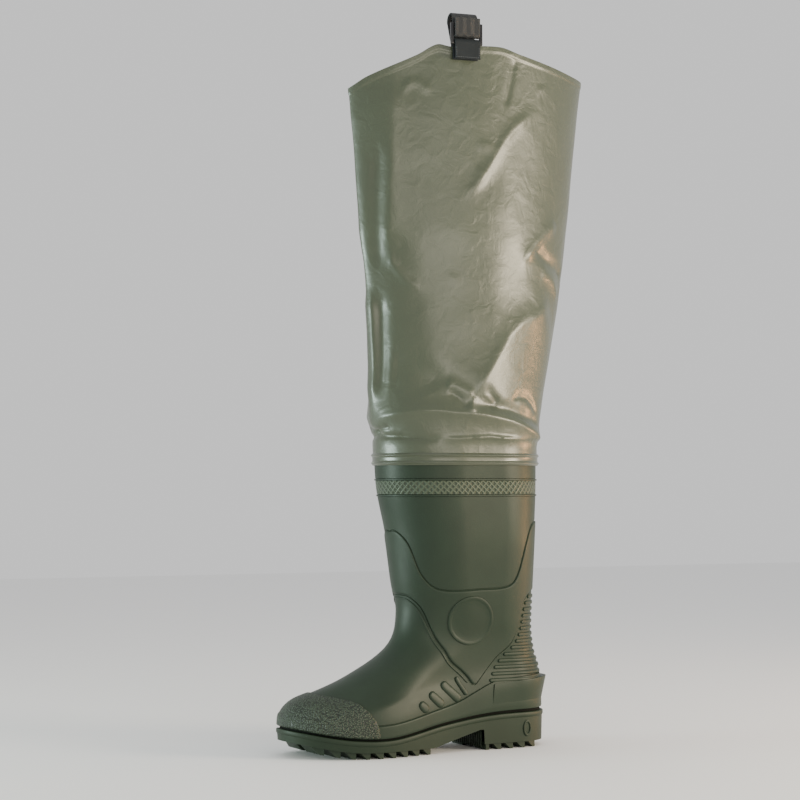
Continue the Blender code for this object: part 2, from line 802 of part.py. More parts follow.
def add_strip(bm, path, width, thickness):
    """Flat webbing along a path of (out, up) places at the strap's seat."""
    origin, out, rising, along = strap_frame()
    points = [origin + out * x + rising * z for x, z in path]
    sections = []
    for i, point in enumerate(points):
        way = points[min(i + 1, len(points) - 1)] - points[max(i - 1, 0)]
        side = way.cross(along).normalized() * (thickness / 2)
        reach = along * (width / 2)
        sections.append([bm.verts.new(corner) for corner in (
            point - side - reach, point + side - reach, point + side + reach, point - side + reach)])
    for low, high in zip(sections, sections[1:]):
        skin_between(bm, low, high)
    bm.faces.new(sections[0])
    bm.faces.new(sections[-1])


def build_strap_tab(made):
    """The tab: webbing on the leg's outer face, folded over the buckle's lower bar."""
    radius = wrap_radius()
    middle = FIT_GAP + STRAP_THICKNESS / 2 + radius
    fold = arc(middle, bar_height(0), radius, 180, 0, 9)
    path = [(middle - radius, -TAB_LENGTH)] + fold + [(middle + radius, -TAB_LENGTH)]
    bm = bmesh.new()
    add_strip(bm, path, STRAP_WIDTH, STRAP_THICKNESS)
    return finish("strap_tab", bm, made)


def build_buckle(made):
    """The buckle: a ladder frame of two rails and three bars."""
    origin, out, rising, along = strap_frame()
    middle = FIT_GAP + STRAP_THICKNESS / 2 + wrap_radius()

    def add_block(bm, low, high, width, depth):
        ends = []
        for x in (middle - depth / 2, middle + depth / 2):
            ends.append([bm.verts.new(origin + out * x + along * y + rising * z) for y, z in (
                (-width / 2, low), (width / 2, low), (width / 2, high), (-width / 2, high))])
        skin_between(bm, *ends)
        for end in ends:
            bm.faces.new(end)

    bm = bmesh.new()
    add_block(bm, BUCKLE_LIFT, BUCKLE_LIFT + BUCKLE_HEIGHT, BUCKLE_WIDTH, BUCKLE_THICKNESS)
    buckle = finish("buckle", bm, made)
    bm = bmesh.new()
    for number in (0, 1):
        add_block(bm, bar_height(number) + BUCKLE_BAR / 2, bar_height(number + 1) - BUCKLE_BAR / 2,
                  STRAP_WIDTH + 2 * FIT_GAP, 2 * BUCKLE_THICKNESS)
    join(buckle, finish("buckle_slots", bm, made), "DIFFERENCE")
    return buckle


def build_belt_loop(made):
    """The belt loop: webbing from inside the rim, up and over, and round the buckle's middle bar."""
    radius = wrap_radius()
    middle = FIT_GAP + STRAP_THICKNESS / 2 + radius
    inside = -(HEM_RELIEF + LEG_WALL + STRAP_SEAT + STRAP_THICKNESS / 2)
    crown = LOOP_RISE - LOOP_RADIUS - STRAP_THICKNESS / 2
    path = [(inside, -TAB_LENGTH), (inside, FIT_GAP)]
    path += arc(middle - radius - LOOP_RADIUS, crown, LOOP_RADIUS, 180, 0, 9)
    path += arc(middle, bar_height(1), radius, 180, 360, 9)
    path += [(middle + radius, bar_height(2) + BUCKLE_BAR / 2 + TAIL_RISE)]
    bm = bmesh.new()
    add_strip(bm, path, STRAP_WIDTH, STRAP_THICKNESS)
    return finish("belt_loop", bm, made)


def main():
    """Clear the scene and build each piece."""
    for leftover in list(bpy.data.objects):
        bpy.data.objects.remove(leftover)
    rubber = material("boot rubber", (0.075, 0.095, 0.065), 0.42)
    sole_rubber = material("sole rubber", (0.080, 0.098, 0.068), 0.50)
    foam = material("insole foam", (0.10, 0.11, 0.08), 0.9)
    fabric = material("coated fabric", (0.155, 0.150, 0.090), 0.45)
    tape = material("welded tape", (0.130, 0.130, 0.085), 0.45)
    build_outsole(sole_rubber)
    build_upper(rubber)
    build_insole(foam)
    build_leg(fabric)
    build_seam_tape(tape)
    build_strap_tab(material("tab webbing", (0.030, 0.034, 0.042), 0.8))
    build_buckle(material("black plastic", (0.015, 0.015, 0.017), 0.3))
    build_belt_loop(material("black webbing", (0.020, 0.020, 0.022), 0.8))


main()
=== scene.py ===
"""Looks of a left hip wader: moulded boot, cleated sole, welded fabric leg and belt strap.

Metres, +Z up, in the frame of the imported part. A place on the boot is "up" (0 at the feather line,
1 at the collar) and "turn" (0 at the toe or shin, 1 at the heel or calf by the outer side, minus
on the inner side). Grids of points have one row for each step up and one column for each turn.
"""

import logging
import math
from dataclasses import dataclass
from enum import Enum, IntEnum
from typing import Any, Sequence

import bpy
import numpy as np
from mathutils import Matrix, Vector, noise


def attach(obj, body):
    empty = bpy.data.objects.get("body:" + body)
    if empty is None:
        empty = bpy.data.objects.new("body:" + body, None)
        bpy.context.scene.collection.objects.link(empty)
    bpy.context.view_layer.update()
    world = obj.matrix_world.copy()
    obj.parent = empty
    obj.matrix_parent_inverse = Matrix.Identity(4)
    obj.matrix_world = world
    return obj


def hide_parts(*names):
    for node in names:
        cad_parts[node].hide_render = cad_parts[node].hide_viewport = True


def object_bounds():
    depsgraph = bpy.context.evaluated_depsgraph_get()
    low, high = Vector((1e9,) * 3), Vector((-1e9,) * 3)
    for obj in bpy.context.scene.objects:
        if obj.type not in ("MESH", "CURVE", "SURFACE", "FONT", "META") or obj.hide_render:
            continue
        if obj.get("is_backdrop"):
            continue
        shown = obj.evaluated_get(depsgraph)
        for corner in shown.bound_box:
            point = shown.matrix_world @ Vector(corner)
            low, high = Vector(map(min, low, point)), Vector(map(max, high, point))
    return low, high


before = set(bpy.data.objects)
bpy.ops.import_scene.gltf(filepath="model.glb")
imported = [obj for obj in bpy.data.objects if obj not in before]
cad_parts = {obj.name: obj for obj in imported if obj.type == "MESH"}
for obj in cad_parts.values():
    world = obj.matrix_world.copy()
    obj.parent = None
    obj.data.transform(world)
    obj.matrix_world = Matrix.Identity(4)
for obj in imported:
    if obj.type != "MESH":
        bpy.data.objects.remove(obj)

log = logging.getLogger("hip_wader")

Grid = np.ndarray
Table = tuple[tuple[float, ...], ...]
Row = tuple[Grid, float, int]

BODY = "root"
MM = 0.001

# Points closer than this become one, in metres.
WELD = 1e-6

# Shorter lengths count as this, so that nothing is divided by zero.
TINY = 1e-12

# Samples of a line that is searched or measured.
FINE = 400

# Edges sharper than these stay sharp, in degrees.
HARD_EDGE = 30.0
RUBBER_EDGE = 38.0
CLOTH_EDGE = 50.0

# The wave texture runs through this many radians a metre at scale 1.
WAVE_RADIANS = 20

# The sole's plan from the back of the heel: centre line and half width as shares of the ball width.
SOLE_PLAN: Table = (
    # along, centre, half
    (0.00, 0.000, 0.355),
    (0.18, 0.000, 0.365),
    (0.42, 0.035, 0.350),
    (0.70, 0.015, 0.490),
    (0.88, -0.035, 0.455),
    (1.00, -0.060, 0.400),
)

# The feather line from the side: shares of heel lift and toe spring.
SOLE_SIDE: Table = (
    # along, heel, spring
    (0.00, 1.00, 0.00),
    (0.25, 0.93, 0.00),
    (0.45, 0.55, 0.00),
    (0.66, 0.00, 0.00),
    (0.82, 0.00, 0.12),
    (1.00, 0.00, 1.00),
)

# Sections of the last and shaft, as shares of the sole's length and of the collar's height.
SECTIONS: Table = (
    # up, plan, front, front_rise, back, back_rise, half, nose, tail, round
    (0.00, 1.00, 0.986, 0.000, 0.006, 0.000, 0.970, 0.220, 0.133, 2.2),
    (0.06, 1.00, 0.977, 0.051, 0.010, 0.085, 0.980, 0.227, 0.133, 2.2),
    (0.12, 1.00, 0.938, 0.095, 0.011, 0.120, 0.950, 0.250, 0.133, 2.1),
    (0.20, 1.00, 0.861, 0.136, 0.014, 0.155, 0.900, 0.300, 0.140, 2.0),
    (0.30, 0.92, 0.741, 0.199, 0.027, 0.199, 0.880, 0.300, 0.153, 2.0),
    (0.40, 0.75, 0.595, 0.291, 0.037, 0.266, 0.880, 0.283, 0.167, 2.0),
    (0.50, 0.45, 0.556, 0.411, 0.043, 0.348, 0.890, 0.233, 0.183, 2.0),
    (0.60, 0.15, 0.569, 0.554, 0.042, 0.491, 0.920, 0.207, 0.187, 2.0),
    (0.72, 0.00, 0.588, 0.712, 0.038, 0.680, 1.000, 0.207, 0.187, 2.0),
    (0.86, 0.00, 0.622, 0.861, 0.030, 0.854, 1.050, 0.227, 0.207, 2.0),
    (1.00, 0.00, 0.632, 1.006, 0.028, 1.006, 1.080, 0.247, 0.233, 2.0),
)

# Lines on the moulded upper: "turn", "up".
FOXING_LINE: Table = ((0.0, 0.052), (0.5, 0.052), (0.57, 0.060), (0.62, 0.086), (0.67, 0.118), (1.0, 0.124))
SADDLE_LOW: Table = (
    (0.000, 0.559), (0.060, 0.558), (0.105, 0.554), (0.166, 0.534), (0.206, 0.506), (0.244, 0.468),
    (0.302, 0.417), (0.410, 0.352), (0.512, 0.269), (0.571, 0.186), (0.606, 0.116), (0.616, 0.150),
    (0.622, 0.240), (0.638, 0.305), (0.664, 0.350), (0.682, 0.407), (0.692, 0.481), (0.708, 0.547),
    (0.751, 0.584), (0.822, 0.603), (1.000, 0.612),
)
SADDLE_HIGH: Table = (
    (0.00, 0.722), (0.06, 0.724), (0.13, 0.692), (0.18, 0.625), (0.22, 0.594), (0.27, 0.575),
    (0.35, 0.572), (0.48, 0.584), (0.61, 0.600), (0.67, 0.630), (0.73, 0.720), (0.78, 0.762), (1.00, 0.775),
)

# The toe cap's rear edge, from the feather line up to the top of the toe.
CAP_EDGE: Table = (
    # up, turn
    (0.012, 0.352), (0.045, 0.347), (0.060, 0.340), (0.079, 0.329), (0.112, 0.299), (0.148, 0.257),
    (0.166, 0.220), (0.176, 0.150), (0.179, 0.060), (0.1795, 0.0),
)

# Slanting bars on the quarter, from the foxing up.
QUARTER_BARS: Table = (
    # low_up, low_turn, high_up, high_turn, width
    (0.062, 0.482, 0.112, 0.447, 0.0100),
    (0.062, 0.524, 0.150, 0.465, 0.0100),
    (0.064, 0.570, 0.196, 0.487, 0.0100),
    (0.080, 0.587, 0.207, 0.527, 0.0052),
)

# Sections of the fabric leg from the collar to the rim.
LEG_SECTIONS: Table = (
    # up, front, back, half, corner
    (0.000, 0.860, 0.390, 1.180, 1.00),
    (0.120, 0.862, 0.440, 1.120, 1.12),
    (0.350, 0.872, 0.656, 1.050, 1.35),
    (0.600, 0.918, 0.812, 1.030, 1.45),
    (0.850, 0.965, 0.932, 1.020, 1.50),
    (1.000, 1.000, 1.000, 1.000, 1.50),
)

# The outer side of the rim, from front to back: rise above the line between its corners.
RIM_RISE: Table = (
    (0.00, 0.00), (0.05, 0.26), (0.21, 0.74), (0.28, 1.00), (0.33, 0.92), (0.53, 0.86),
    (0.62, 0.65), (0.75, 0.39), (0.90, 0.12), (1.00, 0.00),
)

# An edge in the mould, from its low side to its high side.
MOULD_STEP: Table = (
    # place in runs from its middle, share of its rise, share of the groove along its foot
    (-1.00, 0.00, 0.0),
    (-0.65, 0.00, 1.0),
    (-0.35, 0.00, 1.0),
    (-0.05, 0.60, 0.0),
    (0.25, 0.95, 0.0),
    (1.00, 1.00, 0.0),
)

# Rounding of the collar's top edge, in crowns: down from the top, in from the outer face.
COLLAR_ROUND: Table = ((0.3, 0.25), (0.0, 0.875))

# Rounding of the toe cap, as shares of its relief: by the turn in from its rear edge, and by "up".
CAP_ROUND: Table = ((0.0, 0.2), (0.005, 0.7), (0.015, 0.95), (0.035, 1.0))
CAP_ENDS: Table = ((0.008, 0.3), (0.010, 0.8), (0.013, 1.0), (0.177, 1.0), (0.1785, 0.58), (0.1795, 0.3))

# The heel spur, by "up": its rows, how far it reaches, the round of its top and the edge at its sides.
SPUR_ROWS = (0.028, 0.028, 0.034, 0.045, 0.056, 0.070, 0.084, 0.094, 0.098, 0.1005, 0.1015, 0.1015)
SPUR_REACH: Table = ((0.028, 0.05), (0.055, 0.50), (0.0985, 1.0))
SPUR_TOP: Table = ((0.0985, 1.0), (0.1005, 0.93), (0.1015, 0.75))
SPUR_EDGE: Table = ((0.028, 0.05), (0.075, 1.0))

# Places near a raised strip's end, as shares of its rounded tip.
TIP_PLACES = (0.0, 0.03, 0.1, 0.22, 0.4, 0.65)

# Section of a raised strip, with its root in the wall.
STRIP_SECTION: Table = (
    # across in half widths, share of the relief, 1 on the surface and 0 at the root
    (-1.0, 0.00, 0), (-1.0, 0.00, 1), (-0.9, 0.50, 1), (-0.7, 0.85, 1), (-0.4, 1.00, 1), (0.0, 1.00, 1),
    (0.4, 1.00, 1), (0.7, 0.85, 1), (0.9, 0.50, 1), (1.0, 0.00, 1), (1.0, 0.00, 0), (-1.0, 0.00, 0),
)

# Section of an ankle disc from its middle, with its root in the wall.
DISC_SECTION: Table = (
    # share of the radius, share of the ring's relief, 1 on the surface and 0 at the root
    (0.00, 0.00, 1), (0.30, 0.00, 1), (0.60, 0.00, 1), (0.82, 0.00, 1), (0.86, 0.30, 1), (0.90, 0.95, 1),
    (0.94, 1.00, 1), (0.97, 0.90, 1), (0.99, 0.60, 1), (1.00, 0.00, 1), (1.00, 0.00, 0), (0.00, 0.00, 0),
)

# A saw tooth of the tread from the channel out: share of the way, size of its section.
TOOTH_ENDS: Table = (
    (0.0, 0.0), (0.0, 0.94), (0.012, 1.0), (0.2, 1.0), (0.4, 1.0), (0.6, 1.0), (0.8, 1.0),
    (0.988, 1.0), (1.0, 0.94), (1.0, 0.0),
)

# Rows of the leg above the collar: from, to, how many.
LEG_ROWS = ((0.006, 0.12, 34), (0.126, 0.950, 86), (0.954, 1.0, 16))

# The tape's rounded edges: share of its height, share of its thickness.
TAPE_ENDS: Table = ((0.0, 0.3), (0.015, 0.5625), (0.04, 1.0), (0.96, 1.0), (0.985, 0.625), (1.0, 0.4))

# Rounded edge of webbing: metres in from its edge, share of half its thickness.
WEBBING_EDGE: Table = ((0.0, 0.3), (0.0003, 0.8), (0.0009, 1.0))


def curve(rows: Table, at: Grid, column: int) -> Grid:
    """Read a table's column between its rows, as a smooth curve through them.

    Args:
        rows: The table, its first column rising.
        at: Places to read.
        column: Number of the column.

    Returns:
        The values, in the shape of at.
    """
    table = np.array(rows)
    knots, values = table[:, 0], table[:, column]
    slopes = np.empty_like(values)
    slopes[1:-1] = (values[2:] - values[:-2]) / (knots[2:] - knots[:-2])
    slopes[0] = (values[1] - values[0]) / (knots[1] - knots[0])
    slopes[-1] = (values[-1] - values[-2]) / (knots[-1] - knots[-2])
    at = np.clip(at, knots[0], knots[-1])
    i = np.clip(np.searchsorted(knots, at, side="right") - 1, 0, len(knots) - 2)
    span = knots[i + 1] - knots[i]
    s = (at - knots[i]) / span
    low, high = values[i], values[i + 1]
    pulls = slopes[i] * span * (s**3 - 2 * s**2 + s) + slopes[i + 1] * span * (s**3 - s**2)
    return low + (high - low) * (3 * s**2 - 2 * s**3) + pulls


def line(rows: Table, turn: Grid) -> Grid:
    """Read a line that is alike on both sides of the boot.

    Args:
        rows: The line's corners, turn and up.
        turn: Turns to read.

    Returns:
        The "up" of the line at each turn.
    """
    return curve(rows, np.abs((np.asarray(turn) + 1) % 2 - 1), 1)


def between(rows: Table, at: Grid) -> Grid:
    """Read a table's second column between its rows, in straight lines."""
    table = np.array(rows)
    return np.interp(at, table[:, 0], table[:, 1])


def smooth(share: Grid) -> Grid:
    """Soft step from 0 to 1 over shares 0 to 1."""
    s = np.clip(share, 0.0, 1.0)
    return s * s * (3 - 2 * s)


def unit(vectors: Grid) -> Grid:
    """Vectors of length 1 in the same ways."""
    return vectors / np.maximum(np.linalg.norm(vectors, axis=-1, keepdims=True), TINY)


def closure(distance: Grid, length: Grid, power: Grid) -> Grid:
    """How far a plan has opened to its full width at a distance from its end."""
    s = np.clip(distance / length, 0.0, 1.0)
    return (1 - (1 - s) ** power) ** (1 / power)


@dataclass(frozen=True)
class Form:
    """A surface over "up" and "turn"."""

    probe: float = 0.003

    def points(self, up: Grid, turn: Grid) -> Grid:
        """Points on the surface, with X, Y and Z in the last axis."""
        raise NotImplementedError

    def normals(self, up: Grid, turn: Grid) -> Grid:
        """Ways out of the surface.

        Args:
            up: Shares up the surface.
            turn: Turns round it.

        Returns:
            Vectors of length 1, with X, Y and Z in the last axis.
        """
        low, high = np.maximum(up - self.probe, 0.0), np.minimum(up + self.probe, 1.0)
        along = self.points(up, turn + self.probe) - self.points(up, turn - self.probe)
        rising = self.points(high, turn) - self.points(low, turn)
        return unit(np.cross(along, rising))


@dataclass(frozen=True)
class BootForm(Form):
    """The plain outer surface of sole and upper, with the sizes that all the boot's pieces share."""

    sole_length: float = 0.300
    ball_width: float = 0.112
    heel_back: float = 0.040
    heel_height: float = 0.0375
    ball_height: float = 0.0185
    toe_spring: float = 0.011
    collar_height: float = 0.316
    shaft_half_width: float = 0.055
    wall: float = 0.0026
    fit_gap: float = 0.0003
    foxing_relief: float = 0.0010
    halvings: int = 22

    def share(self, y: Grid) -> Grid:
        """Share of the sole's length from the back of the heel."""
        return (self.heel_back - y) / self.sole_length

    def place(self, share: Grid) -> Grid:
        """Place along Y of a share of the sole's length."""
        return self.heel_back - share * self.sole_length

    def centre(self, y: Grid) -> Grid:
        """Centre line of the sole."""
        return curve(SOLE_PLAN, self.share(y), 1) * self.ball_width

    def half(self, y: Grid) -> Grid:
        """Half width of the sole before its ends close."""
        return curve(SOLE_PLAN, self.share(y), 2) * self.ball_width

    def toe_lift(self, y: Grid) -> Grid:
        """Height of the toe spring."""
        return self.toe_spring * np.maximum(curve(SOLE_SIDE, self.share(y), 2), 0.0)

    def feather(self, y: Grid) -> Grid:
        """Height of the line where upper and sole meet."""
        heel = curve(SOLE_SIDE, self.share(y), 1)
        return self.ball_height + (self.heel_height - self.ball_height) * heel + self.toe_lift(y)

    def points(self, up: Grid, turn: Grid) -> Grid:
        """Points on the plain surface.

        Args:
            up: Shares from feather line to collar.
            turn: Turns round the boot, in a shape that goes with up.

        Returns:
            Points, with X, Y and Z in the last axis.
        """
        up, turn = np.broadcast_arrays(np.asarray(up, float), np.asarray(turn, float))
        plan, front, front_rise, back, back_rise, half, nose, tail, power = (
            curve(SECTIONS, up, column) for column in range(1, 10)
        )
        angle = math.pi * turn
        forward = (1 + np.cos(angle)) / 2
        y_front, y_back = self.place(front), self.place(back)
        y = y_back + (y_front - y_back) * forward
        width = half * (plan * self.half(y) + (1 - plan) * self.shaft_half_width)
        width *= closure(y - y_front, nose * self.sole_length, power)
        width *= closure(y_back - y, tail * self.sole_length, power)
        x = plan * self.centre(y) + np.copysign(width, np.sin(angle))
        rise = front_rise + (back_rise - front_rise) * np.maximum(1 - forward, 0.0) ** (1 + plan)
        return np.stack([x, y, plan * self.feather(y) + rise * self.collar_height], axis=-1)

    def skin(self, up: Grid, turn: Grid, offset: Grid) -> Grid:
        """Points at a distance outside the plain surface.

        Args:
            up: Shares from feather line to collar.
            turn: Turns round the boot.
            offset: Distances out of the surface.

        Returns:
            Points, with X, Y and Z in the last axis.
        """
        up, turn = np.broadcast_arrays(np.asarray(up, float), np.asarray(turn, float))
        out = self.normals(up, turn) * np.broadcast_to(offset, up.shape)[..., None]
        lift = np.array([0.0, 0.0, self.fit_gap])
        return self.points(up, turn) + out + lift

    def up_at(self, height: float, turn: Grid) -> Grid:
        """The "up" at which the surface reaches a height.

        Args:
            height: The height.
            turn: Turns round the boot.

        Returns:
            One "up" for each turn.
        """
        low, high = np.zeros_like(turn), np.ones_like(turn)
        for _ in range(self.halvings):
            middle = (low + high) / 2
            under = self.points(middle, turn)[..., 2] < height
            low, high = np.where(under, middle, low), np.where(under, high, middle)
        return (low + high) / 2

    def ring(self, height: float, turn: Grid, offset: float) -> Grid:
        """A level ring round the shaft, at a distance outside the plain surface."""
        level = self.skin(self.up_at(height, turn), turn, offset)
        return level - np.array([0.0, 0.0, self.fit_gap])

    def outline(self, turn: Grid, offset: Grid) -> Grid:
        """The sole's outline in plan.

        Args:
            turn: Turns round the boot.
            offset: Distances outside the upper's own outline.

        Returns:
            Points, with X, Y and Z in the last axis.
        """
        out = self.normals(np.zeros_like(turn), turn)
        out[..., 2] = 0
        return self.points(np.zeros_like(turn), turn) + unit(out) * np.asarray(offset)[..., None]


@dataclass(frozen=True)
class LegForm(Form):
    """The fabric leg's plain outer surface above the boot's collar."""

    wall: float = 0.0010
    front: float = 0.1845
    back: float = 0.0985
    half_width: float = 0.054
    blend: float = 0.11
    rim_front: float = 0.686
    rim_back: float = 0.7155
    peak_rise: float = 0.0365
    inner_sag: float = 0.006
    overlap: float = 0.018
    boot: BootForm = BootForm()

    @property
    def collar(self) -> float:
        """Height at which the leg leaves the boot."""
        return self.boot.collar_height + 2 * self.wall

    def rim(self, turn: Grid) -> Grid:
        """Height of the rim: a raised outer side and a straight inner one.

        Args:
            turn: Turns round the leg.

        Returns:
            One height for each turn.
        """
        along = (1 - np.cos(math.pi * turn)) / 2
        side = np.sin(math.pi * turn)
        rise = self.peak_rise * curve(RIM_RISE, along, 1)
        return self.rim_front + (self.rim_back - self.rim_front) * along + np.where(
            side > 0, rise, -self.inner_sag * side**2)

    def points(self, up: Grid, turn: Grid) -> Grid:
        """Points on the plain surface.

        Args:
            up: Shares from collar to rim.
            turn: Turns round the leg.

        Returns:
            Points, with X, Y and Z in the last axis.
        """
        up, turn = np.broadcast_arrays(np.asarray(up, float), np.asarray(turn, float))
        front, back, half, corner = (curve(LEG_SECTIONS, up, column) for column in range(1, 5))
        forward = (1 + np.cos(math.pi * turn)) / 2
        y = self.back * back - (self.back * back + self.front * front) * forward
        side = np.sin(math.pi * turn)
        x = self.half_width * half * np.copysign(np.abs(side) ** corner, side)
        base = self.boot.skin(np.ones_like(turn), turn, self.boot.fit_gap + self.wall)
        share = smooth(up / self.blend)
        z = self.collar + (self.rim(turn) - self.collar) * up
        return np.stack([base[..., 0] + (x - base[..., 0]) * share,
                         base[..., 1] + (y - base[..., 1]) * share, z], axis=-1)

    def at_height(self, turn: Grid, height: Grid) -> Grid:
        """Points on the surface at given heights."""
        up = (height - self.collar) / (self.rim(turn) - self.collar)
        return self.points(np.clip(up, 0.0, 1.0), turn)


def linear(colour: str) -> tuple[float, float, float, float]:
    """A colour as the shaders take it.

    Args:
        colour: sRGB hex, such as "#808080".

    Returns:
        Linear red, green, blue and a full alpha.
    """
    parts = [int(colour[i : i + 2], 16) / 255 for i in (1, 3, 5)]
    red, green, blue = (v / 12.92 if v <= 0.04045 else ((v + 0.055) / 1.055) ** 2.4 for v in parts)
    return red, green, blue, 1.0


def add_node(tree: bpy.types.NodeTree, kind: str, settings: dict[str, Any], inputs: dict[Any, Any]) -> Any:
    """Add a node and fill it in.

    Args:
        tree: The material's or world's nodes.
        kind: The node's type.
        settings: Values of its own properties.
        inputs: Values or sockets for its inputs, by name or number.

    Returns:
        The node.
    """
    made = tree.nodes.new(kind)
    for name, value in settings.items():
        setattr(made, name, value)
    for name, value in inputs.items():
        if isinstance(value, bpy.types.NodeSocket):
            tree.links.new(value, made.inputs[name])
        else:
            made.inputs[name].default_value = value
    return made


class Pattern(Enum):
    """Relief that a finish carries in its bump."""

    GRAIN = "grain"
    STIPPLE = "stipple"
    KNURL = "knurl"
    WEAVE = "weave"
    HERRINGBONE = "herringbone"


@dataclass(frozen=True)
class Finish:
    """A material, with its pattern measured in metres."""

    name: str
    colour: str
    shade: str
    roughness: float
    pattern: Pattern
    pitch: float
    depth: float
    coat: float = 0.0
    blotch: float = 0.03
    wear: float = 0.15
    coat_polish: float = 0.6
    specular: float = 0.5
    # How far the relief's height, not the blotches, picks the colour: painted highlight on raised parts and
    # painted shade in hollows.
    relief_painted_shading: float = 0.0
    crinkle: float = 0.0
    crinkle_pitch: float = 0.017

    def build(self) -> bpy.types.Material:
        """Make the material.

        Returns:
            The material.
        """
        made = bpy.data.materials.new(self.name)
        made.use_nodes = True
        tree = made.node_tree
        shader = tree.nodes["Principled BSDF"]
        shader.inputs["Specular IOR Level"].default_value = self.specular
        shader.inputs["Coat Weight"].default_value = self.coat
        shader.inputs["Coat Roughness"].default_value = self.roughness * self.coat_polish
        place = add_node(tree, "ShaderNodeTexCoord", {}, {})
        cloud = add_node(tree, "ShaderNodeTexNoise", {}, {
            "Vector": place.outputs["Object"], "Scale": 1 / self.blotch, "Detail": 4.0})
        relief = self.height(tree, place)
        # The colour mix follows the blotches and, for finishes that ask, the relief's height, which paints
        # highlight on raised parts and shade in hollows.
        share = add_node(tree, "ShaderNodeMix", {"data_type": "FLOAT"}, {
            0: self.relief_painted_shading, 2: cloud.outputs["Fac"], 3: relief})
        tint = add_node(tree, "ShaderNodeMix", {"data_type": "RGBA"}, {
            0: share.outputs[0], 6: linear(self.colour), 7: linear(self.shade)})
        tree.links.new(tint.outputs[2], shader.inputs["Base Color"])
        wear = add_node(tree, "ShaderNodeMapRange", {}, {
            "Value": cloud.outputs["Fac"], "To Min": self.roughness * (1 - self.wear),
            "To Max": self.roughness * (1 + self.wear)})
        tree.links.new(wear.outputs["Result"], shader.inputs["Roughness"])
        slack = add_node(tree, "ShaderNodeTexNoise", {}, {
            "Vector": place.outputs["Object"], "Scale": 1 / self.crinkle_pitch, "Detail": 3.0,
            "Distortion": 0.8})
        wavy = add_node(tree, "ShaderNodeBump", {}, {
            "Strength": 1.0, "Distance": self.crinkle, "Height": slack.outputs["Fac"]})
        bump = add_node(tree, "ShaderNodeBump", {}, {
            "Strength": 1.0, "Distance": self.depth, "Height": relief, "Normal": wavy.outputs["Normal"]})
        tree.links.new(bump.outputs["Normal"], shader.inputs["Normal"])
        return made

    def height(self, tree: bpy.types.NodeTree, place: bpy.types.Node) -> bpy.types.NodeSocket:
        """Nodes of the relief.

        Args:
            tree: The material's nodes.
            place: The node that gives coordinates.

        Returns:
            The socket with the relief's height.
        """
        if self.pattern is Pattern.GRAIN:
            grain = add_node(tree, "ShaderNodeTexNoise", {}, {
                "Vector": place.outputs["Object"], "Scale": 1 / self.pitch, "Detail": 3.0})
            return grain.outputs["Fac"]
        if self.pattern is Pattern.STIPPLE:
            bumps = add_node(tree, "ShaderNodeTexVoronoi", {"feature": "SMOOTH_F1"}, {
                "Vector": place.outputs["Object"], "Scale": 1 / self.pitch, "Smoothness": 0.4})
            pebbles = add_node(tree, "ShaderNodeMapRange", {}, {
                "Value": bumps.outputs["Distance"], "From Max": 0.7, "To Min": 1.0, "To Max": 0.0})
            return pebbles.outputs["Result"]
        if self.pattern is Pattern.KNURL:
            return self.crossed(tree, place, math.radians(45), math.radians(-45))
        if self.pattern is Pattern.WEAVE:
            return self.crossed(tree, place, 0.0, math.radians(90))
        row_pitches, slant = 8.0, math.radians(50)
        across = self.stripes(tree, place, 0.0, row_pitches)
        rows = add_node(tree, "ShaderNodeMath", {"operation": "GREATER_THAN"}, {0: across, 1: 0.5})
        left, right = (self.stripes(tree, place, angle, 1.0) for angle in (slant, -slant))
        herring = add_node(tree, "ShaderNodeMix", {"data_type": "FLOAT"}, {
            0: rows.outputs[0], 2: left, 3: right})
        return herring.outputs[0]

    def stripes(self, tree: bpy.types.NodeTree, place: bpy.types.Node, angle: float,
                pitches: float) -> bpy.types.NodeSocket:
        """Sine stripes on the piece's own flat measure.

        Args:
            tree: The material's nodes.
            place: The node that gives coordinates.
            angle: Turn of the stripes.
            pitches: Width of one stripe in pitches.

        Returns:
            The socket with the stripes' height, 0 to 1.
        """
        turned = add_node(tree, "ShaderNodeMapping", {}, {
            "Vector": place.outputs["UV"], "Rotation": (0.0, 0.0, angle)})
        scale = math.tau / (WAVE_RADIANS * self.pitch * pitches)
        wave = add_node(tree, "ShaderNodeTexWave", {"wave_type": "BANDS", "bands_direction": "X"}, {
            "Vector": turned.outputs["Vector"], "Scale": scale})
        return wave.outputs["Fac"]

    def crossed(self, tree: bpy.types.NodeTree, place: bpy.types.Node, first: float,
                second: float) -> bpy.types.NodeSocket:
        """Two sets of stripes, laid over each other as raised lines or woven as points.

        Args:
            tree: The material's nodes.
            place: The node that gives coordinates.
            first: Turn of one set.
            second: Turn of the other.

        Returns:
            The socket with the height of the points between them.
        """
        joined = "MAXIMUM" if self.pattern is Pattern.KNURL else "MULTIPLY"
        both = add_node(tree, "ShaderNodeMath", {"operation": joined}, {
            0: self.stripes(tree, place, first, 1.0), 1: self.stripes(tree, place, second, 1.0)})
        return both.outputs[0]


# The groove over the sole's edge, painted almost black as shade: the eye gets an almost black line.
GROOVE_PAINTED_SHADE = Finish(
    "green PVC, groove painted dark as shade", "#0A0E0A", "#070A07", 0.8, Pattern.GRAIN, 0.8 * MM, 0.03 * MM, specular=0.1)
# Semi-gloss green PVC of the moulded boot: the eye gets a fine satin skin with soft reflections.
BOOT_RUBBER = Finish(
    "green PVC, satin", "#263326", "#1F2A20", 0.47, Pattern.GRAIN, 0.8 * MM, 0.10 * MM, 0.04, specular=0.2)
# The same PVC where the mould was textured: pebbled toe cap that breaks up the reflection, with the pebble
# tops painted light as highlight and the pits painted dark as shade.
TOE_RUBBER = Finish(
    "green PVC, pebbled", "#151C15", "#42503F", 0.48, Pattern.STIPPLE, 1.7 * MM, 0.9 * MM,
    specular=0.35, relief_painted_shading=0.85)
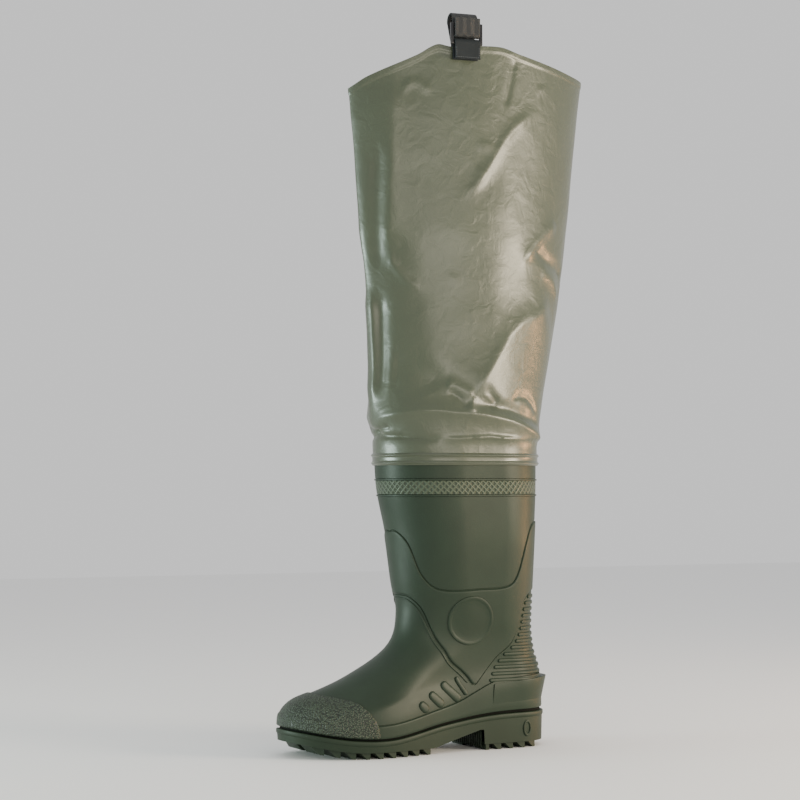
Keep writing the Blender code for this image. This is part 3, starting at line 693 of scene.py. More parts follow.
# The same PVC on the collar's band: crossed knurls between two plain ridges, their raised lines painted light
# as highlight and the hollows painted dark as shade.
BAND_RUBBER = Finish(
    "green PVC, knurled", "#1E271D", "#444F3E", 0.42, Pattern.KNURL, 4.6 * MM, 1.1 * MM,
    specular=0.35, relief_painted_shading=0.7)
# Moulded rubber of the sole: the boot's green, a little duller.
SOLE_RUBBER = Finish(
    "sole rubber", "#263124", "#1F2A1F", 0.50, Pattern.GRAIN, 0.9 * MM, 0.10 * MM, specular=0.2)
# Foam of the insole: matt and soft, only seen down the shaft.
INSOLE_FOAM = Finish("insole foam", "#5A5E50", "#4E5246", 0.92, Pattern.GRAIN, 0.5 * MM, 0.10 * MM)
# Coated nylon of the leg: olive with a waxy sheen on the folds, small crinkles and a hint of weave.
LEG_FABRIC = Finish(
    "coated nylon, outside", "#3C4430", "#353C2A", 0.40, Pattern.WEAVE, 0.45 * MM, 0.015 * MM, 0.4, 0.05,
    crinkle=1.1 * MM)
# The uncoated back of the same nylon: paler, matt khaki inside the leg.
LEG_LINING = Finish(
    "nylon, inside", "#8C8B68", "#7F7F5E", 0.75, Pattern.WEAVE, 0.45 * MM, 0.03 * MM, crinkle=1.1 * MM)
# Cut edge of the hem: a dark line along the rim.
HEM_EDGE = Finish("nylon, cut edge", "#34362A", "#2C2E24", 0.7, Pattern.GRAIN, 0.4 * MM, 0.03 * MM)
# Welded PVC tape over the seam: smoother and a little glossier than the leg.
SEAM_TAPE = Finish("welded PVC tape", "#3A412E", "#333A28", 0.34, Pattern.GRAIN, 0.8 * MM, 0.03 * MM, 0.4)
# Woven tab: dark blue-grey and dull.
TAB_WEBBING = Finish(
    "tab webbing", "#1E2427", "#181D20", 0.8, Pattern.WEAVE, 0.7 * MM, 0.10 * MM, specular=0.3)
# Acetal of the buckle: black, moulded smooth, with sharp small highlights.
BUCKLE_PLASTIC = Finish("black acetal", "#141416", "#101012", 0.24, Pattern.GRAIN, 0.5 * MM, 0.005 * MM)
# Polyester webbing of the loop: black herringbone with faint grey glints.
LOOP_WEBBING = Finish(
    "black herringbone webbing", "#1D2022", "#17191B", 0.62, Pattern.HERRINGBONE, 1.1 * MM, 0.25 * MM)
# Bonded thread of the tab's stitches: dark grey, slightly shiny.
THREAD = Finish("bonded thread", "#4A4F54", "#42474C", 0.5, Pattern.GRAIN, 0.2 * MM, 0.01 * MM)


class WallZone(IntEnum):
    """Finishes of the upper's wall, in the order of its materials."""

    SMOOTH = 0
    KNURLED = 1
    # The groove over the sole, painted almost black as shade.
    GROOVE = 2


class LegZone(IntEnum):
    """Finishes of the leg, in the order of its materials."""

    OUTSIDE = 0
    LINING = 1
    EDGE = 2


def clear_selection() -> None:
    """Leave object mode with nothing selected."""
    bpy.ops.object.select_all(action="DESELECT")


def lengths(points: Grid, axis: int) -> Grid:
    """Way along a grid's rows or columns, from its middle.

    Args:
        points: The grid.
        axis: 0 along its columns, 1 along its rows.

    Returns:
        Metres, minus before the middle.
    """
    steps = np.linalg.norm(np.diff(points, axis=axis), axis=-1)
    way = np.cumsum(steps, axis=axis)
    zero = np.zeros_like(np.take(way, [0], axis=axis))
    way = np.concatenate([zero, way], axis=axis)
    return way - np.take(way, [way.shape[axis] // 2], axis=axis)


def distances(path: Grid) -> Grid:
    """Way along a path to each of its points, from 0."""
    steps = np.linalg.norm(np.diff(path, axis=0), axis=-1)
    return np.concatenate([[0.0], np.cumsum(steps)])


def spine(ring: Grid) -> list[Grid]:
    """Rows that close a ring of the sole onto its centre line.

    Args:
        ring: Points, the same number on both sides of the toe.

    Returns:
        A row half way in, and the row on the centre line.
    """
    middle = ring.copy()
    middle[..., 0] = (ring[..., 0] + ring[::-1, 0]) / 2
    return [ring + (middle - ring) * share for share in (0.5, 1.0)]


def lay_grid(name: str, points: Grid, finishes: Sequence[bpy.types.Material],
             zones: Sequence[int] = (), upright: bool = False) -> bpy.types.Object:
    """A grid primitive laid over points; edges that come to lie on each other are welded.

    Args:
        name: Name of the object.
        points: Grid of points, rows by columns.
        finishes: Its materials.
        zones: For each row of faces, the number of its material.
        upright: Whether the flat measure's second axis is plain height.

    Returns:
        The object, at the origin, with a flat measure in metres as its UV map.
    """
    rows, columns = points.shape[:2]
    clear_selection()
    bpy.ops.mesh.primitive_grid_add(x_subdivisions=columns - 1, y_subdivisions=rows - 1, size=1.0,
                                    calc_uvs=True)
    shape = bpy.context.object
    shape.name = name
    mesh = shape.data
    mesh.name = name
    mesh.vertices.foreach_set("co", np.ascontiguousarray(points, dtype=np.float32).reshape(-1))
    corners = np.empty(len(mesh.loops), dtype=np.int32)
    mesh.loops.foreach_get("vertex_index", corners)
    rise = points[..., 2] if upright else lengths(points, 0)
    measure = np.stack([lengths(points, 1), rise], axis=-1).reshape(-1, 2)
    mesh.uv_layers.active.data.foreach_set("uv", measure[corners].astype(np.float32).reshape(-1))
    for finish in finishes:
        mesh.materials.append(finish)
    if len(zones):
        mesh.polygons.foreach_set("material_index", np.repeat(np.array(zones, dtype=np.int32), columns - 1))
    mesh.update()
    bpy.ops.object.mode_set(mode="EDIT")
    bpy.ops.mesh.select_all(action="SELECT")
    bpy.ops.mesh.remove_doubles(threshold=WELD)
    bpy.ops.mesh.normals_make_consistent(inside=False)
    bpy.ops.object.mode_set(mode="OBJECT")
    return shape


def join_all(name: str, shapes: Sequence[bpy.types.Object], angle: float = RUBBER_EDGE) -> bpy.types.Object:
    """Join objects into one and shade it.

    Args:
        name: Name of the piece.
        shapes: The objects, the first of which stays.
        angle: Edges sharper than this stay sharp, in degrees.

    Returns:
        The piece.
    """
    clear_selection()
    for shape in shapes:
        shape.select_set(True)
    bpy.context.view_layer.objects.active = shapes[0]
    if len(shapes) > 1:
        bpy.ops.object.join()
    piece = bpy.context.view_layer.objects.active
    piece.name = name
    piece.data.name = name
    bpy.ops.object.shade_smooth_by_angle(angle=math.radians(angle))
    return piece


def apply_modifier(shape: bpy.types.Object, kind: str, settings: dict[str, Any]) -> None:
    """Add a modifier and apply it.

    Args:
        shape: The object.
        kind: The modifier's type.
        settings: Its values.
    """
    clear_selection()
    shape.select_set(True)
    bpy.context.view_layer.objects.active = shape
    change = shape.modifiers.new(kind.lower(), kind)
    for name, value in settings.items():
        setattr(change, name, value)
    bpy.ops.object.modifier_apply(modifier=change.name)


def cut_away(shape: bpy.types.Object, cutter: bpy.types.Object) -> None:
    """Take a cutter's form out of an object, and the cutter away."""
    apply_modifier(shape, "BOOLEAN", {"object": cutter, "operation": "DIFFERENCE", "solver": "EXACT"})
    bpy.data.objects.remove(cutter)


def add_block(name: str, middle: Sequence[float], size: Sequence[float]) -> bpy.types.Object:
    """A cube primitive at its size and place.

    Args:
        name: Name of the object.
        middle: Its middle.
        size: Its size along X, Y and Z.

    Returns:
        The block, at the origin and unscaled.
    """
    clear_selection()
    bpy.ops.mesh.primitive_cube_add(size=1.0, location=middle, scale=size)
    block = bpy.context.object
    block.name = name
    bpy.ops.object.transform_apply(location=True, scale=True)
    return block


def turn_mesh(shape: bpy.types.Object, origin: Grid, ways: tuple[Grid, Grid, Grid]) -> None:
    """Lay an object's mesh along three ways in place of X, Y and Z, its faces outward.

    Args:
        shape: The object, at the origin.
        origin: Where its origin goes.
        ways: Where its axes go, each as long as one unit of it becomes.
    """
    points = np.array([vertex.co for vertex in shape.data.vertices])
    placed = origin + points @ np.array(ways)
    shape.data.vertices.foreach_set("co", placed.astype(np.float32).reshape(-1))
    if np.cross(ways[0], ways[1]) @ ways[2] < 0:
        shape.data.flip_normals()


def register(piece: bpy.types.Object, node: str = "") -> bpy.types.Object:
    """Hand a piece to the frame.

    Args:
        piece: The finished object.
        node: The CAD node that it stands for.

    Returns:
        The piece.
    """
    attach(piece, BODY)
    if node:
        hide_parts(node)
    log.info("%s: %d faces", piece.name, len(piece.data.polygons))
    return piece


def even(low: float, high: float, count: int, power: float = 1.0) -> Grid:
    """Values from low to high, both included, evenly spaced or closer at the low end."""
    return low + (high - low) * np.linspace(0, 1, count) ** power


@dataclass
class MouldedUpper:
    """The boot's upper: one hollow wall, with the raised forms of its mould."""

    columns: int = 440
    panel_relief: float = 0.0011
    groove: float = 0.0007
    seam_groove: float = 0.0013
    seam_rows: tuple[float, ...] = (0.0, 0.0056, 0.0072, 0.0105)
    seam_crest: float = 0.6
    step_run: float = 0.0016
    step_room: float = 0.4
    least_room: float = 1e-4
    steepest: float = 5.0
    line_round: float = 0.012
    line_samples: int = 7
    band_bottom: float = 0.2630
    band_top: float = 0.2810
    band_ridge: float = 0.0016
    band_relief: float = 0.0010
    crown: float = 0.0008
    crown_inside: float = 0.0006
    top_rows: int = 7
    inside_rows: int = 16
    cap_relief: float = 0.0014
    cap_foxing: float = 0.048
    cap_blend: float = 0.012
    cap_rows: int = 44
    cap_columns: int = 80
    spur_reach: float = 0.0060
    spur_edge: float = 0.0010
    spur_start: float = 0.665
    spur_columns: int = 90
    strip_tip: float = 1.5
    rib_width: float = 0.0042
    rib_relief: float = 0.0013
    rib_pitch: float = 0.0066
    rib_bottom: float = 0.0715
    rib_top: float = 0.160
    rib_step: float = 0.0022
    rib_samples: int = 60
    counter_start: float = 0.625
    counter_end: float = 0.99
    bar_relief: float = 0.0017
    bar_step: float = 0.0020
    vein_inset: float = 0.0046
    vein_width: float = 0.0017
    vein_relief: float = 0.0009
    vein_reach: float = 0.605
    vein_samples: int = 300
    vein_window: int = 13
    vein_clear: float = 0.012
    vein_step: float = 0.0025
    disc_radius: float = 0.0258
    disc_columns: int = 96
    disc_tries: int = 6
    disc_relief: float = 0.0012
    disc_groove: float = 0.0006
    disc_up: float = 0.482
    disc_turn: float = 0.442
    boot: BootForm = BootForm()

    def build(self) -> bpy.types.Object:
        """Make the upper.

        Returns:
            The piece.
        """
        rubber, pebbled, knurled = BOOT_RUBBER.build(), TOE_RUBBER.build(), BAND_RUBBER.build()
        shapes = [self.wall(rubber, knurled), self.toe_cap(pebbled), self.spur(rubber)]
        shapes += self.heel_ribs(rubber) + self.quarter(rubber) + [self.vein(rubber)]
        return register(join_all("upper_skin", shapes), "upper")

    def wall(self, rubber: bpy.types.Material, knurled: bpy.types.Material) -> bpy.types.Object:
        """The hollow wall itself.

        Args:
            rubber: The plain finish.
            knurled: The finish between the band's ridges.

        Returns:
            The wall.
        """
        turn = np.linspace(-1.0, 1.0, self.columns + 1)
        rows = self.seam(turn)
        rows += self.mould_lines(turn, rows[-1][0])
        rows += self.collar(turn, rows[-1][0])
        points = np.stack([self.boot.skin(up, turn, offset) for up, offset, _ in rows])
        # The third finish paints the groove over the sole almost black as shade.
        finishes = (rubber, knurled, GROOVE_PAINTED_SHADE.build())
        return lay_grid("upper_wall", np.concatenate([points, points[:1]]), finishes,
                        [zone for _, _, zone in rows], upright=True)

    def seam(self, turn: Grid) -> list[Row]:
        """Rows of the groove over the sole, painted dark as shade, and of the foxing's lower edge.

        Args:
            turn: Turns of the columns.

        Returns:
            Places up, offset and zone of each row.
        """
        offsets = (-self.seam_groove, -self.seam_groove, self.seam_crest * self.boot.foxing_relief,
                   self.boot.foxing_relief)
        zones = (WallZone.GROOVE, WallZone.GROOVE, WallZone.SMOOTH, WallZone.SMOOTH)
        return [(np.full_like(turn, up), offset, zone)
                for up, offset, zone in zip(self.seam_rows, offsets, zones)]

    def mould_lines(self, turn: Grid, start: Grid) -> list[Row]:
        """Rows up to the band's upper ridge, with a step at each line of the mould.

        Args:
            turn: Turns of the columns.
            start: Where the row below lies.

        Returns:
            Places up, offset and zone of each row.
        """
        foxing, low, high = (self.softened(rows, turn) for rows in (FOXING_LINE, SADDLE_LOW, SADDLE_HIGH))
        bottom, top = self.boot.up_at(self.band_bottom, turn), self.boot.up_at(self.band_top, turn)
        ridge = self.band_ridge / self.boot.collar_height
        plain, panel, band = 0.0, self.panel_relief, self.band_relief
        edges = (
            # middle, offset below, offset above; rows, power and zone of the stretch under it
            (foxing, self.boot.foxing_relief, plain, 8, 1.0, WallZone.SMOOTH),
            (low, plain, panel, 40, 1.5, WallZone.SMOOTH),
            (high, panel, plain, 24, 1.0, WallZone.SMOOTH),
            (bottom, plain, band, 14, 1.0, WallZone.SMOOTH),
            (bottom + ridge, band, plain, 2, 1.0, WallZone.SMOOTH),
            (top - ridge, plain, band, 8, 1.0, WallZone.KNURLED),
            (top, band, plain, 2, 1.0, WallZone.SMOOTH),
        )
        rows: list[Row] = []
        for number, (middle, under, over, count, power, zone) in enumerate(edges):
            above = edges[number + 1][0] if number + 1 < len(edges) else np.ones_like(turn)
            run = self.runs(turn, middle, np.minimum(middle - start, (above - middle) / 2))
            rows += [(start + (middle - run - start) * share, under, zone)
                     for share in even(0, 1, count, power)]
            rows += [(middle + run * at, lift, WallZone.SMOOTH) for at, lift in self.step(under, over)]
            start = middle + run
        return rows

    def collar(self, turn: Grid, start: Grid) -> list[Row]:
        """Rows from the band to the collar, over its rounded top and down the inside.

        Args:
            turn: Turns of the columns.
            start: Where the row below lies.

        Returns:
            Places up, offset and zone of each row.
        """
        crown, inside, top = self.crown / self.boot.collar_height, -self.boot.wall, np.ones_like(turn)
        rows = [(start + (1 - crown - start) * share, 0.0) for share in even(0, 1, self.top_rows)]
        rows += [(top - crown * down, -self.crown * inward) for down, inward in COLLAR_ROUND]
        rows.append((top, inside + self.crown_inside))
        rows += [(np.full_like(turn, share * (1 - crown)), inside) for share in even(1, 0, self.inside_rows)]
        return [(up, offset, WallZone.SMOOTH) for up, offset in rows]

    def softened(self, rows: Table, turn: Grid) -> Grid:
        """A line with its corners rounded by a few millimetres."""
        shifts = even(-self.line_round, self.line_round, self.line_samples)
        return np.mean([line(rows, turn + shift) for shift in shifts], axis=0)

    def runs(self, turn: Grid, middle: Grid, room: Grid) -> Grid:
        """How far a step reaches up and down from its middle, so that it is as wide where it is steep.

        Args:
            turn: Turns of the columns.
            middle: The step's middle at each.
            room: What is free under it or over it.

        Returns:
            The reach, as shares of "up".
        """
        slope = np.gradient(middle, turn) * self.boot.collar_height / self.boot.sole_length
        reach = self.step_run * np.clip(np.hypot(1, slope), 1, self.steepest) / self.boot.collar_height
        return np.minimum(reach, self.step_room * np.maximum(room, self.least_room))

    def step(self, under: float, over: float) -> list[tuple[float, float]]:
        """Profile of an edge in the mould: a groove along its low side and a round on its high side.

        Args:
            under: Offset below the edge.
            over: Offset above the edge.

        Returns:
            Places in runs from the middle, and offsets.
        """
        floor, rise = min(under, over), abs(over - under)
        profile = [(at, floor + share * rise - groove * self.groove) for at, share, groove in MOULD_STEP]
        return profile if over > under else [(-at, lift) for at, lift in reversed(profile)]

    def patch(self, name: str, up: Grid, turn: Grid, offset: Grid,
              finish: bpy.types.Material) -> bpy.types.Object:
        """A closed form rooted in the wall: its grid's rim is sunk and the underside follows it.

        Args:
            name: Name of the object.
            up: Places up, as a grid.
            turn: Places round, as a grid.
            offset: Offsets of the face.
            finish: Its material.

        Returns:
            The form.
        """
        root = -self.boot.wall / 2
        sunk = offset.copy()
        sunk[0, :], sunk[-1, :], sunk[:, 0], sunk[:, -1] = root, root, root, root
        face = self.boot.skin(up, turn, sunk)
        under = self.boot.skin(up, turn, np.full_like(offset, root))
        return lay_grid(name, np.concatenate([face, under[::-1]]), (finish,))

    def toe_cap(self, finish: bpy.types.Material) -> bpy.types.Object:
        """The toe cap: a pebbled shell ahead of a curved edge over the toe.

        Args:
            finish: Its material.

        Returns:
            The cap.
        """
        sides = 1 - np.array(CAP_ROUND)[:, 0]
        face = even(-sides[3], sides[3], self.cap_columns)
        shares = np.concatenate([-sides[:1], -sides[:3], face, sides[2::-1], sides[:1]])
        ends = np.array(CAP_ENDS)[:, 0]
        middle = even(ends[2], ends[3], self.cap_rows)
        rows = np.concatenate([ends[:1], ends[:2], middle, ends[4:], ends[-1:]])
        foxing = self.boot.foxing_relief * (1 - smooth((rows - self.cap_foxing) / self.cap_blend))
        relief = (self.cap_relief + foxing) * between(CAP_ENDS, rows)
        up = np.repeat(rows[:, None], len(shares), axis=1)
        turn = between(CAP_EDGE, rows)[:, None] * shares[None, :]
        lifts = between(CAP_ROUND, 1 - np.abs(shares))
        return self.patch("toe_cap", up, turn, relief[:, None] * lifts[None, :], finish)

    def spur(self, finish: bpy.types.Material) -> bpy.types.Object:
        """The heel spur: a wedge that stands out furthest at its top edge.

        Args:
            finish: Its material.

        Returns:
            The spur.
        """
        rows = np.array(SPUR_ROWS)
        start, end = self.spur_start, 2 - self.spur_start
        turns = np.concatenate([[start], even(start, end, self.spur_columns), [end]])
        middle = np.sin(math.pi * (turns - start) / (end - start)) ** 2
        reach = self.spur_reach * between(SPUR_REACH, rows) * between(SPUR_TOP, rows)
        edge = self.boot.foxing_relief + self.spur_edge * between(SPUR_EDGE, rows)
        up, turn = np.meshgrid(rows, turns, indexing="ij")
        return self.patch("spur", up, turn, edge[:, None] + reach[:, None] * middle[None, :], finish)

    def ridge(self, up: Grid, turn: Grid, width: float, relief: float,
              finish: bpy.types.Material) -> bpy.types.Object:
        """A rounded strip along a path on the boot, with rounded ends.

        Args:
            up: Places up along the path.
            turn: Places round along the path.
            width: Width of the strip.
            relief: Height over the surface round it.
            finish: Its material.

        Returns:
            The strip.
        """
        middle = self.boot.skin(up, turn, np.zeros_like(up))
        out = self.boot.normals(up, turn)
        side = unit(np.cross(out, np.gradient(middle, axis=0)))
        way = distances(middle)
        ends = np.minimum(way, way[-1] - way)
        tip = np.sqrt(np.clip(1 - (1 - np.clip(ends / (width / 2), 0, 1)) ** 2, 0, 1))
        steep = np.minimum(tip * self.strip_tip, 1)
        columns = []
        for across, lift, stands in STRIP_SECTION:
            height = relief * lift * steep if stands else np.full_like(tip, -self.boot.wall / 2)
            columns.append(middle + side * (across * tip * width / 2)[:, None] + out * height[:, None])
        return lay_grid("ridge", np.stack(columns, axis=1), (finish,))

    def resample(self, up: Grid, turn: Grid, pitch: float, ends: float) -> tuple[Grid, Grid]:
        """Even places along a path, closer at its ends.

        Args:
            up: Places up along the path.
            turn: Places round along the path.
            pitch: Distance between places.
            ends: Length of the close stretch at each end.

        Returns:
            Places up and places round.
        """
        fine, knots = np.linspace(0, 1, FINE), np.linspace(0, 1, len(up))
        up, turn = np.interp(fine, knots, up), np.interp(fine, knots, turn)
        way = distances(self.boot.points(up, turn))
        total = way[-1]
        close = np.array(TIP_PLACES) * ends
        at = np.concatenate([close, np.arange(ends, total - ends, pitch), total - close[::-1]])
        return np.interp(at, way, up), np.interp(at, way, turn)

    def counter_turn(self, height: float) -> float:
        """Turn at which the counter begins at a height, on the saddle's rear lower edge.

        Args:
            height: The height.

        Returns:
            The turn, on the outer side.
        """
        turn = np.linspace(self.counter_start, self.counter_end, FINE)
        inside = self.boot.up_at(height, turn) <= self.softened(SADDLE_LOW, turn)
        return float(turn[np.argmax(inside)])

    def heel_ribs(self, finish: bpy.types.Material) -> list[bpy.types.Object]:
        """The counter's level ribs, from the saddle's edge round the heel to the other side.

        Args:
            finish: Their material.

        Returns:
            The ribs, from the lowest up.
        """
        shapes = []
        for height in np.arange(self.rib_bottom, self.rib_top, self.rib_pitch):
            start = self.counter_turn(height) + self.rib_pitch / self.boot.sole_length
            turn = even(start, 2 - start, self.rib_samples)
            up, turn = self.resample(self.boot.up_at(height, turn), turn, self.rib_step, self.rib_width / 2)
            shapes.append(self.ridge(up, turn, self.rib_width, self.rib_relief, finish))
        return shapes

    def quarter(self, finish: bpy.types.Material) -> list[bpy.types.Object]:
        """The slanting quarter bars and the ankle discs, on both sides.

        Args:
            finish: Their material.

        Returns:
            Bars and disc of the inner side, then of the outer side.
        """
        shapes = []
        for side in (-1, 1):
            for low_up, low_turn, high_up, high_turn, width in QUARTER_BARS:
                ups, turns = np.array([low_up, high_up]), side * np.array([low_turn, high_turn])
                up, turn = self.resample(ups, turns, self.bar_step, width / 2)
                shapes.append(self.ridge(up, turn, width, self.bar_relief, finish))
            shapes.append(self.disc(side, finish))
        return shapes

    def disc(self, side: int, finish: bpy.types.Material) -> bpy.types.Object:
        """A round plate on the boot's side, following its curve.

        Args:
            side: 1 on the outer side, -1 on the inner one.
            finish: Its material.

        Returns:
            The plate.
        """
        middle = np.array(self.disc_up), np.array(side * self.disc_turn)
        centre, outward = self.boot.points(*middle), self.boot.normals(*middle)
        level = unit(np.cross((0.0, 0.0, 1.0), outward))
        rearward = self.boot.points(middle[0], middle[1] + self.boot.probe) - centre
        level = level * np.sign(level @ rearward)
        upward = unit(np.array((0.0, 0.0, 1.0)) - outward * outward[2])
        shares, lifts, stands = np.array(DISC_SECTION).T
        radii = shares * self.disc_radius
        ring = lifts * (self.disc_relief - self.disc_groove)
        plate = self.panel_relief + self.disc_groove * (shares < 1) + ring
        offsets = np.where(stands > 0, plate, -self.boot.wall / 2)
        angle = np.linspace(0, math.tau, self.disc_columns + 1)
        circle = np.cos(angle)[:, None] * level + np.sin(angle)[:, None] * upward
        aim = centre + radii[:, None, None] * circle
        up, turn = np.full(aim.shape[:2], middle[0]), np.full(aim.shape[:2], middle[1])
        for _ in range(self.disc_tries):
            up, turn = self.moved(up, turn, aim - self.boot.points(up, turn))
        return lay_grid("disc", self.boot.skin(up, turn, offsets[:, None]), (finish,))

    def vein(self, finish: bpy.types.Material) -> bpy.types.Object:
        """The thin raised line on the vamp, just inside the saddle's edge, from side to side.

        Args:
            finish: Its material.

        Returns:
            The line.
        """
        turn = np.linspace(-self.vein_reach, self.vein_reach, self.vein_samples)
        up, turn = self.sidestep(self.softened(SADDLE_LOW, turn), turn, self.vein_inset)
        window = np.ones(self.vein_window) / self.vein_window
        inner = slice(self.vein_window // 2, -(self.vein_window // 2))
        up, turn = np.convolve(up, window, "same")[inner], np.convolve(turn, window, "same")[inner]
        keep = up > self.softened(FOXING_LINE, turn) + self.vein_clear
        up, turn = self.resample(up[keep], turn[keep], self.vein_step, self.vein_width / 2)
        return self.ridge(up, turn, self.vein_width, self.vein_relief, finish)

    def sidestep(self, up: Grid, turn: Grid, distance: float) -> tuple[Grid, Grid]:
        """A path moved sideways on the surface, to the right as seen from outside.

        Args:
            up: Places up along the path.
            turn: Places round along the path.
            distance: How far it moves.

        Returns:
            Places up and places round.
        """
        tangent = np.gradient(self.boot.points(up, turn), axis=0)
        return self.moved(up, turn, unit(np.cross(tangent, self.boot.normals(up, turn))) * distance)

    def moved(self, up: Grid, turn: Grid, shift: Grid) -> tuple[Grid, Grid]:
        """Places moved over the surface.

        Args:
            up: Places up.
            turn: Places round.
            shift: How each one moves, in metres, last axis x, y, z.

        Returns:
            Places up and places round.
        """
        nudge = self.boot.probe
        rising = (self.boot.points(up + nudge, turn) - self.boot.points(up - nudge, turn)) / (2 * nudge)
        along = (self.boot.points(up, turn + nudge) - self.boot.points(up, turn - nudge)) / (2 * nudge)
        a, b, c = (rising * rising).sum(-1), (rising * along).sum(-1), (along * along).sum(-1)
        toward_up, toward_turn = (rising * shift).sum(-1), (along * shift).sum(-1)
        scale = a * c - b * b
        steps = (c * toward_up - b * toward_turn) / scale, (a * toward_turn - b * toward_up) / scale
        return up + steps[0], turn + steps[1]


@dataclass
class Outsole:
    """The cleated outsole with its heel, arch and toe spring."""

    columns: int = 360
    lug_depth: float = 0.0065
    lug_pitch: float = 0.0145
    lug_length: float = 0.0120
    lug_tip: float = 0.0035
    lug_least: float = 0.0085
    lug_sink: float = 0.0015
    lug_inset: float = 0.0012
    lug_round: float = 0.0005
    channel: float = 0.010
    tread_back: float = 0.507
    tread_front: float = 0.950
    heel_length: float = 0.086
    pad_radius: float = 0.011
    pad_clearance: float = 0.0020
    pad_sides: int = 64
    arch_length: float = 0.066
    arch_rise: float = 0.0150
    arch_slant: float = 0.060
    oval_place: tuple[float, float] = (0.005, 0.0205)
    oval_radius: float = 0.0042
    oval_stretch: float = 1.7
    oval_wire: float = 0.0009
    oval_reach: float = 0.002
    rib_pitch: float = 0.0045
    rib_width: float = 0.0022
    rib_relief: float = 0.0008
    lip: float = 0.0045
    ledge: float = 0.0012
    step: float = 0.0009
    boot: BootForm = BootForm()

    @property
    def side(self) -> float:
        """How far the sole's widest edge stands outside the upper."""
        return self.boot.foxing_relief + self.ledge

    @property
    def heel_front(self) -> float:
        """Place of the heel's front face, along Y."""
        return self.boot.heel_back - self.heel_length

    @property
    def roof(self) -> float:
        """Height of the arch's roof."""
        return self.lug_depth + self.arch_rise

    def build(self) -> bpy.types.Object:
        """Make the outsole.

        Returns:
            The piece.
        """
        rubber = SOLE_RUBBER.build()
        body = self.body(rubber)
        cut_away(body, self.arch_cutter())
        shapes = [body, self.pad(rubber), self.oval(rubber)] + self.breast(rubber) + self.lugs(rubber)
        return register(join_all("outsole_skin", shapes, HARD_EDGE), "outsole")

    def body(self, rubber: bpy.types.Material) -> bpy.types.Object:
        """The sole's body, from its flat underside to the feather line.

        Args:
            rubber: Its material.

        Returns:
            The body, without the arch.
        """
        turn = np.linspace(-1.0, 1.0, self.columns + 1)
        side, foot = self.side, self.side - self.step
        under = self.boot.outline(turn, np.full_like(turn, foot - self.lug_inset / 2))
        flat = self.boot.toe_lift(under[..., 1]) + self.lug_depth
        feather = self.boot.feather(under[..., 1])
        lip = feather - self.lip
        section = (
            # offset, height: underside, recess with its round, lip, and rounded top edge
            (foot - self.lug_inset / 2, flat),
            (foot - self.lug_inset / 4, flat + (lip - flat) * 0.5),
            (foot, lip - 0.0011),
            (foot, lip - 0.0008),
            (side - 0.0002, lip - 0.0001),
            (side, lip + 0.0004),
            (side, feather - 0.0010),
            (side - 0.0003, feather - 0.0004),
            (side - 0.0009, feather - 0.0001),
            (side - 0.0013, feather),
        )
        rings = []
        for offset, height in section:
            ring = self.boot.outline(turn, np.full_like(turn, offset))
            ring[..., 2] = height
            rings.append(ring)
        points = np.stack(spine(rings[0])[::-1] + rings + spine(rings[-1]))
        return lay_grid("outsole_body", points, (rubber,))

    def arch_cutter(self) -> bpy.types.Object:
        """The hollow of the arch, as a block to cut away.

        Returns:
            The block.
        """
        front, rear, sink = self.heel_front - self.arch_length, self.heel_front, self.lug_sink
        profile = np.array([
            (rear, -sink), (rear - sink, self.roof), (front + self.arch_slant, self.roof),
            (front, self.lug_depth - sink), (front, -sink), (rear, -sink),
        ])
        ends = []
        for x, size in ((-1, 0), (-1, 1), (1, 1), (1, 0)):
            section = profile[0] + (profile - profile[0]) * size
            ends.append(np.column_stack([np.full(len(section), x * self.boot.ball_width), section]))
        return lay_grid("arch_cutter", np.array(ends), ())

    def edge(self, y: Grid, side: int) -> Grid:
        """Where the upper's side lies at the feather line.

        Args:
            y: Places along it.
            side: 1 on the outer side, -1 on the inner one.

        Returns:
            One X for each place.
        """
        _, _, front, _, back, _, half, nose, tail, power = SECTIONS[0]
        width = self.boot.half(y) * half
        width = width * closure(y - self.boot.place(front), nose * self.boot.sole_length, power)
        width = width * closure(self.boot.place(back) - y, tail * self.boot.sole_length, power)
        return self.boot.centre(y) + side * width

    def lug(self, front: float, back: float, side: int, channel: float,
            rubber: bpy.types.Material) -> list[bpy.types.Object]:
        """One saw tooth between the middle channel and the sole's side, slanting down to its rear edge.

        Args:
            front: Its front face, along Y.
            back: Its rear face at the root.
            side: 1 on the outer side, -1 on the inner one.
            channel: Width of the channel between the two sides.
            rubber: Its material.

        Returns:
            The tooth, or nothing where the sole is too narrow for it.
        """
        bend = self.lug_round
        foot, low = back - self.lug_tip, bend * 0.3 / self.lug_depth
        profile = np.array([
            # along Y, share of its depth
            (front, 1.0), (back, 1.0), (back, 3 * low), (back - bend * 0.3, low), (back - bend, 0.0),
            (foot + bend, 0.0), (foot, low * 0.5), (foot - bend, low * 2.5), (front, 1.0),
        ])
        y = profile[:, 0]
        z = self.boot.toe_lift(y) + profile[:, 1] * (self.lug_depth + self.lug_sink)
        inner = self.boot.centre(y) + side * channel / 2
        outer = self.edge(y, side) - side * self.lug_inset
        if np.any((outer - inner) * side < self.lug_least):
            return []
        rows, middle = [], np.mean(z)
        for share, size in TOOTH_ENDS:
            x = inner + (outer - inner) * share
            x = np.where(size > 0, x, np.mean(x))
            rows.append(np.stack([x, foot + (y - foot) * size, middle + (z - middle) * size], axis=-1))
        return [lay_grid("lug", np.stack(rows), (rubber,))]

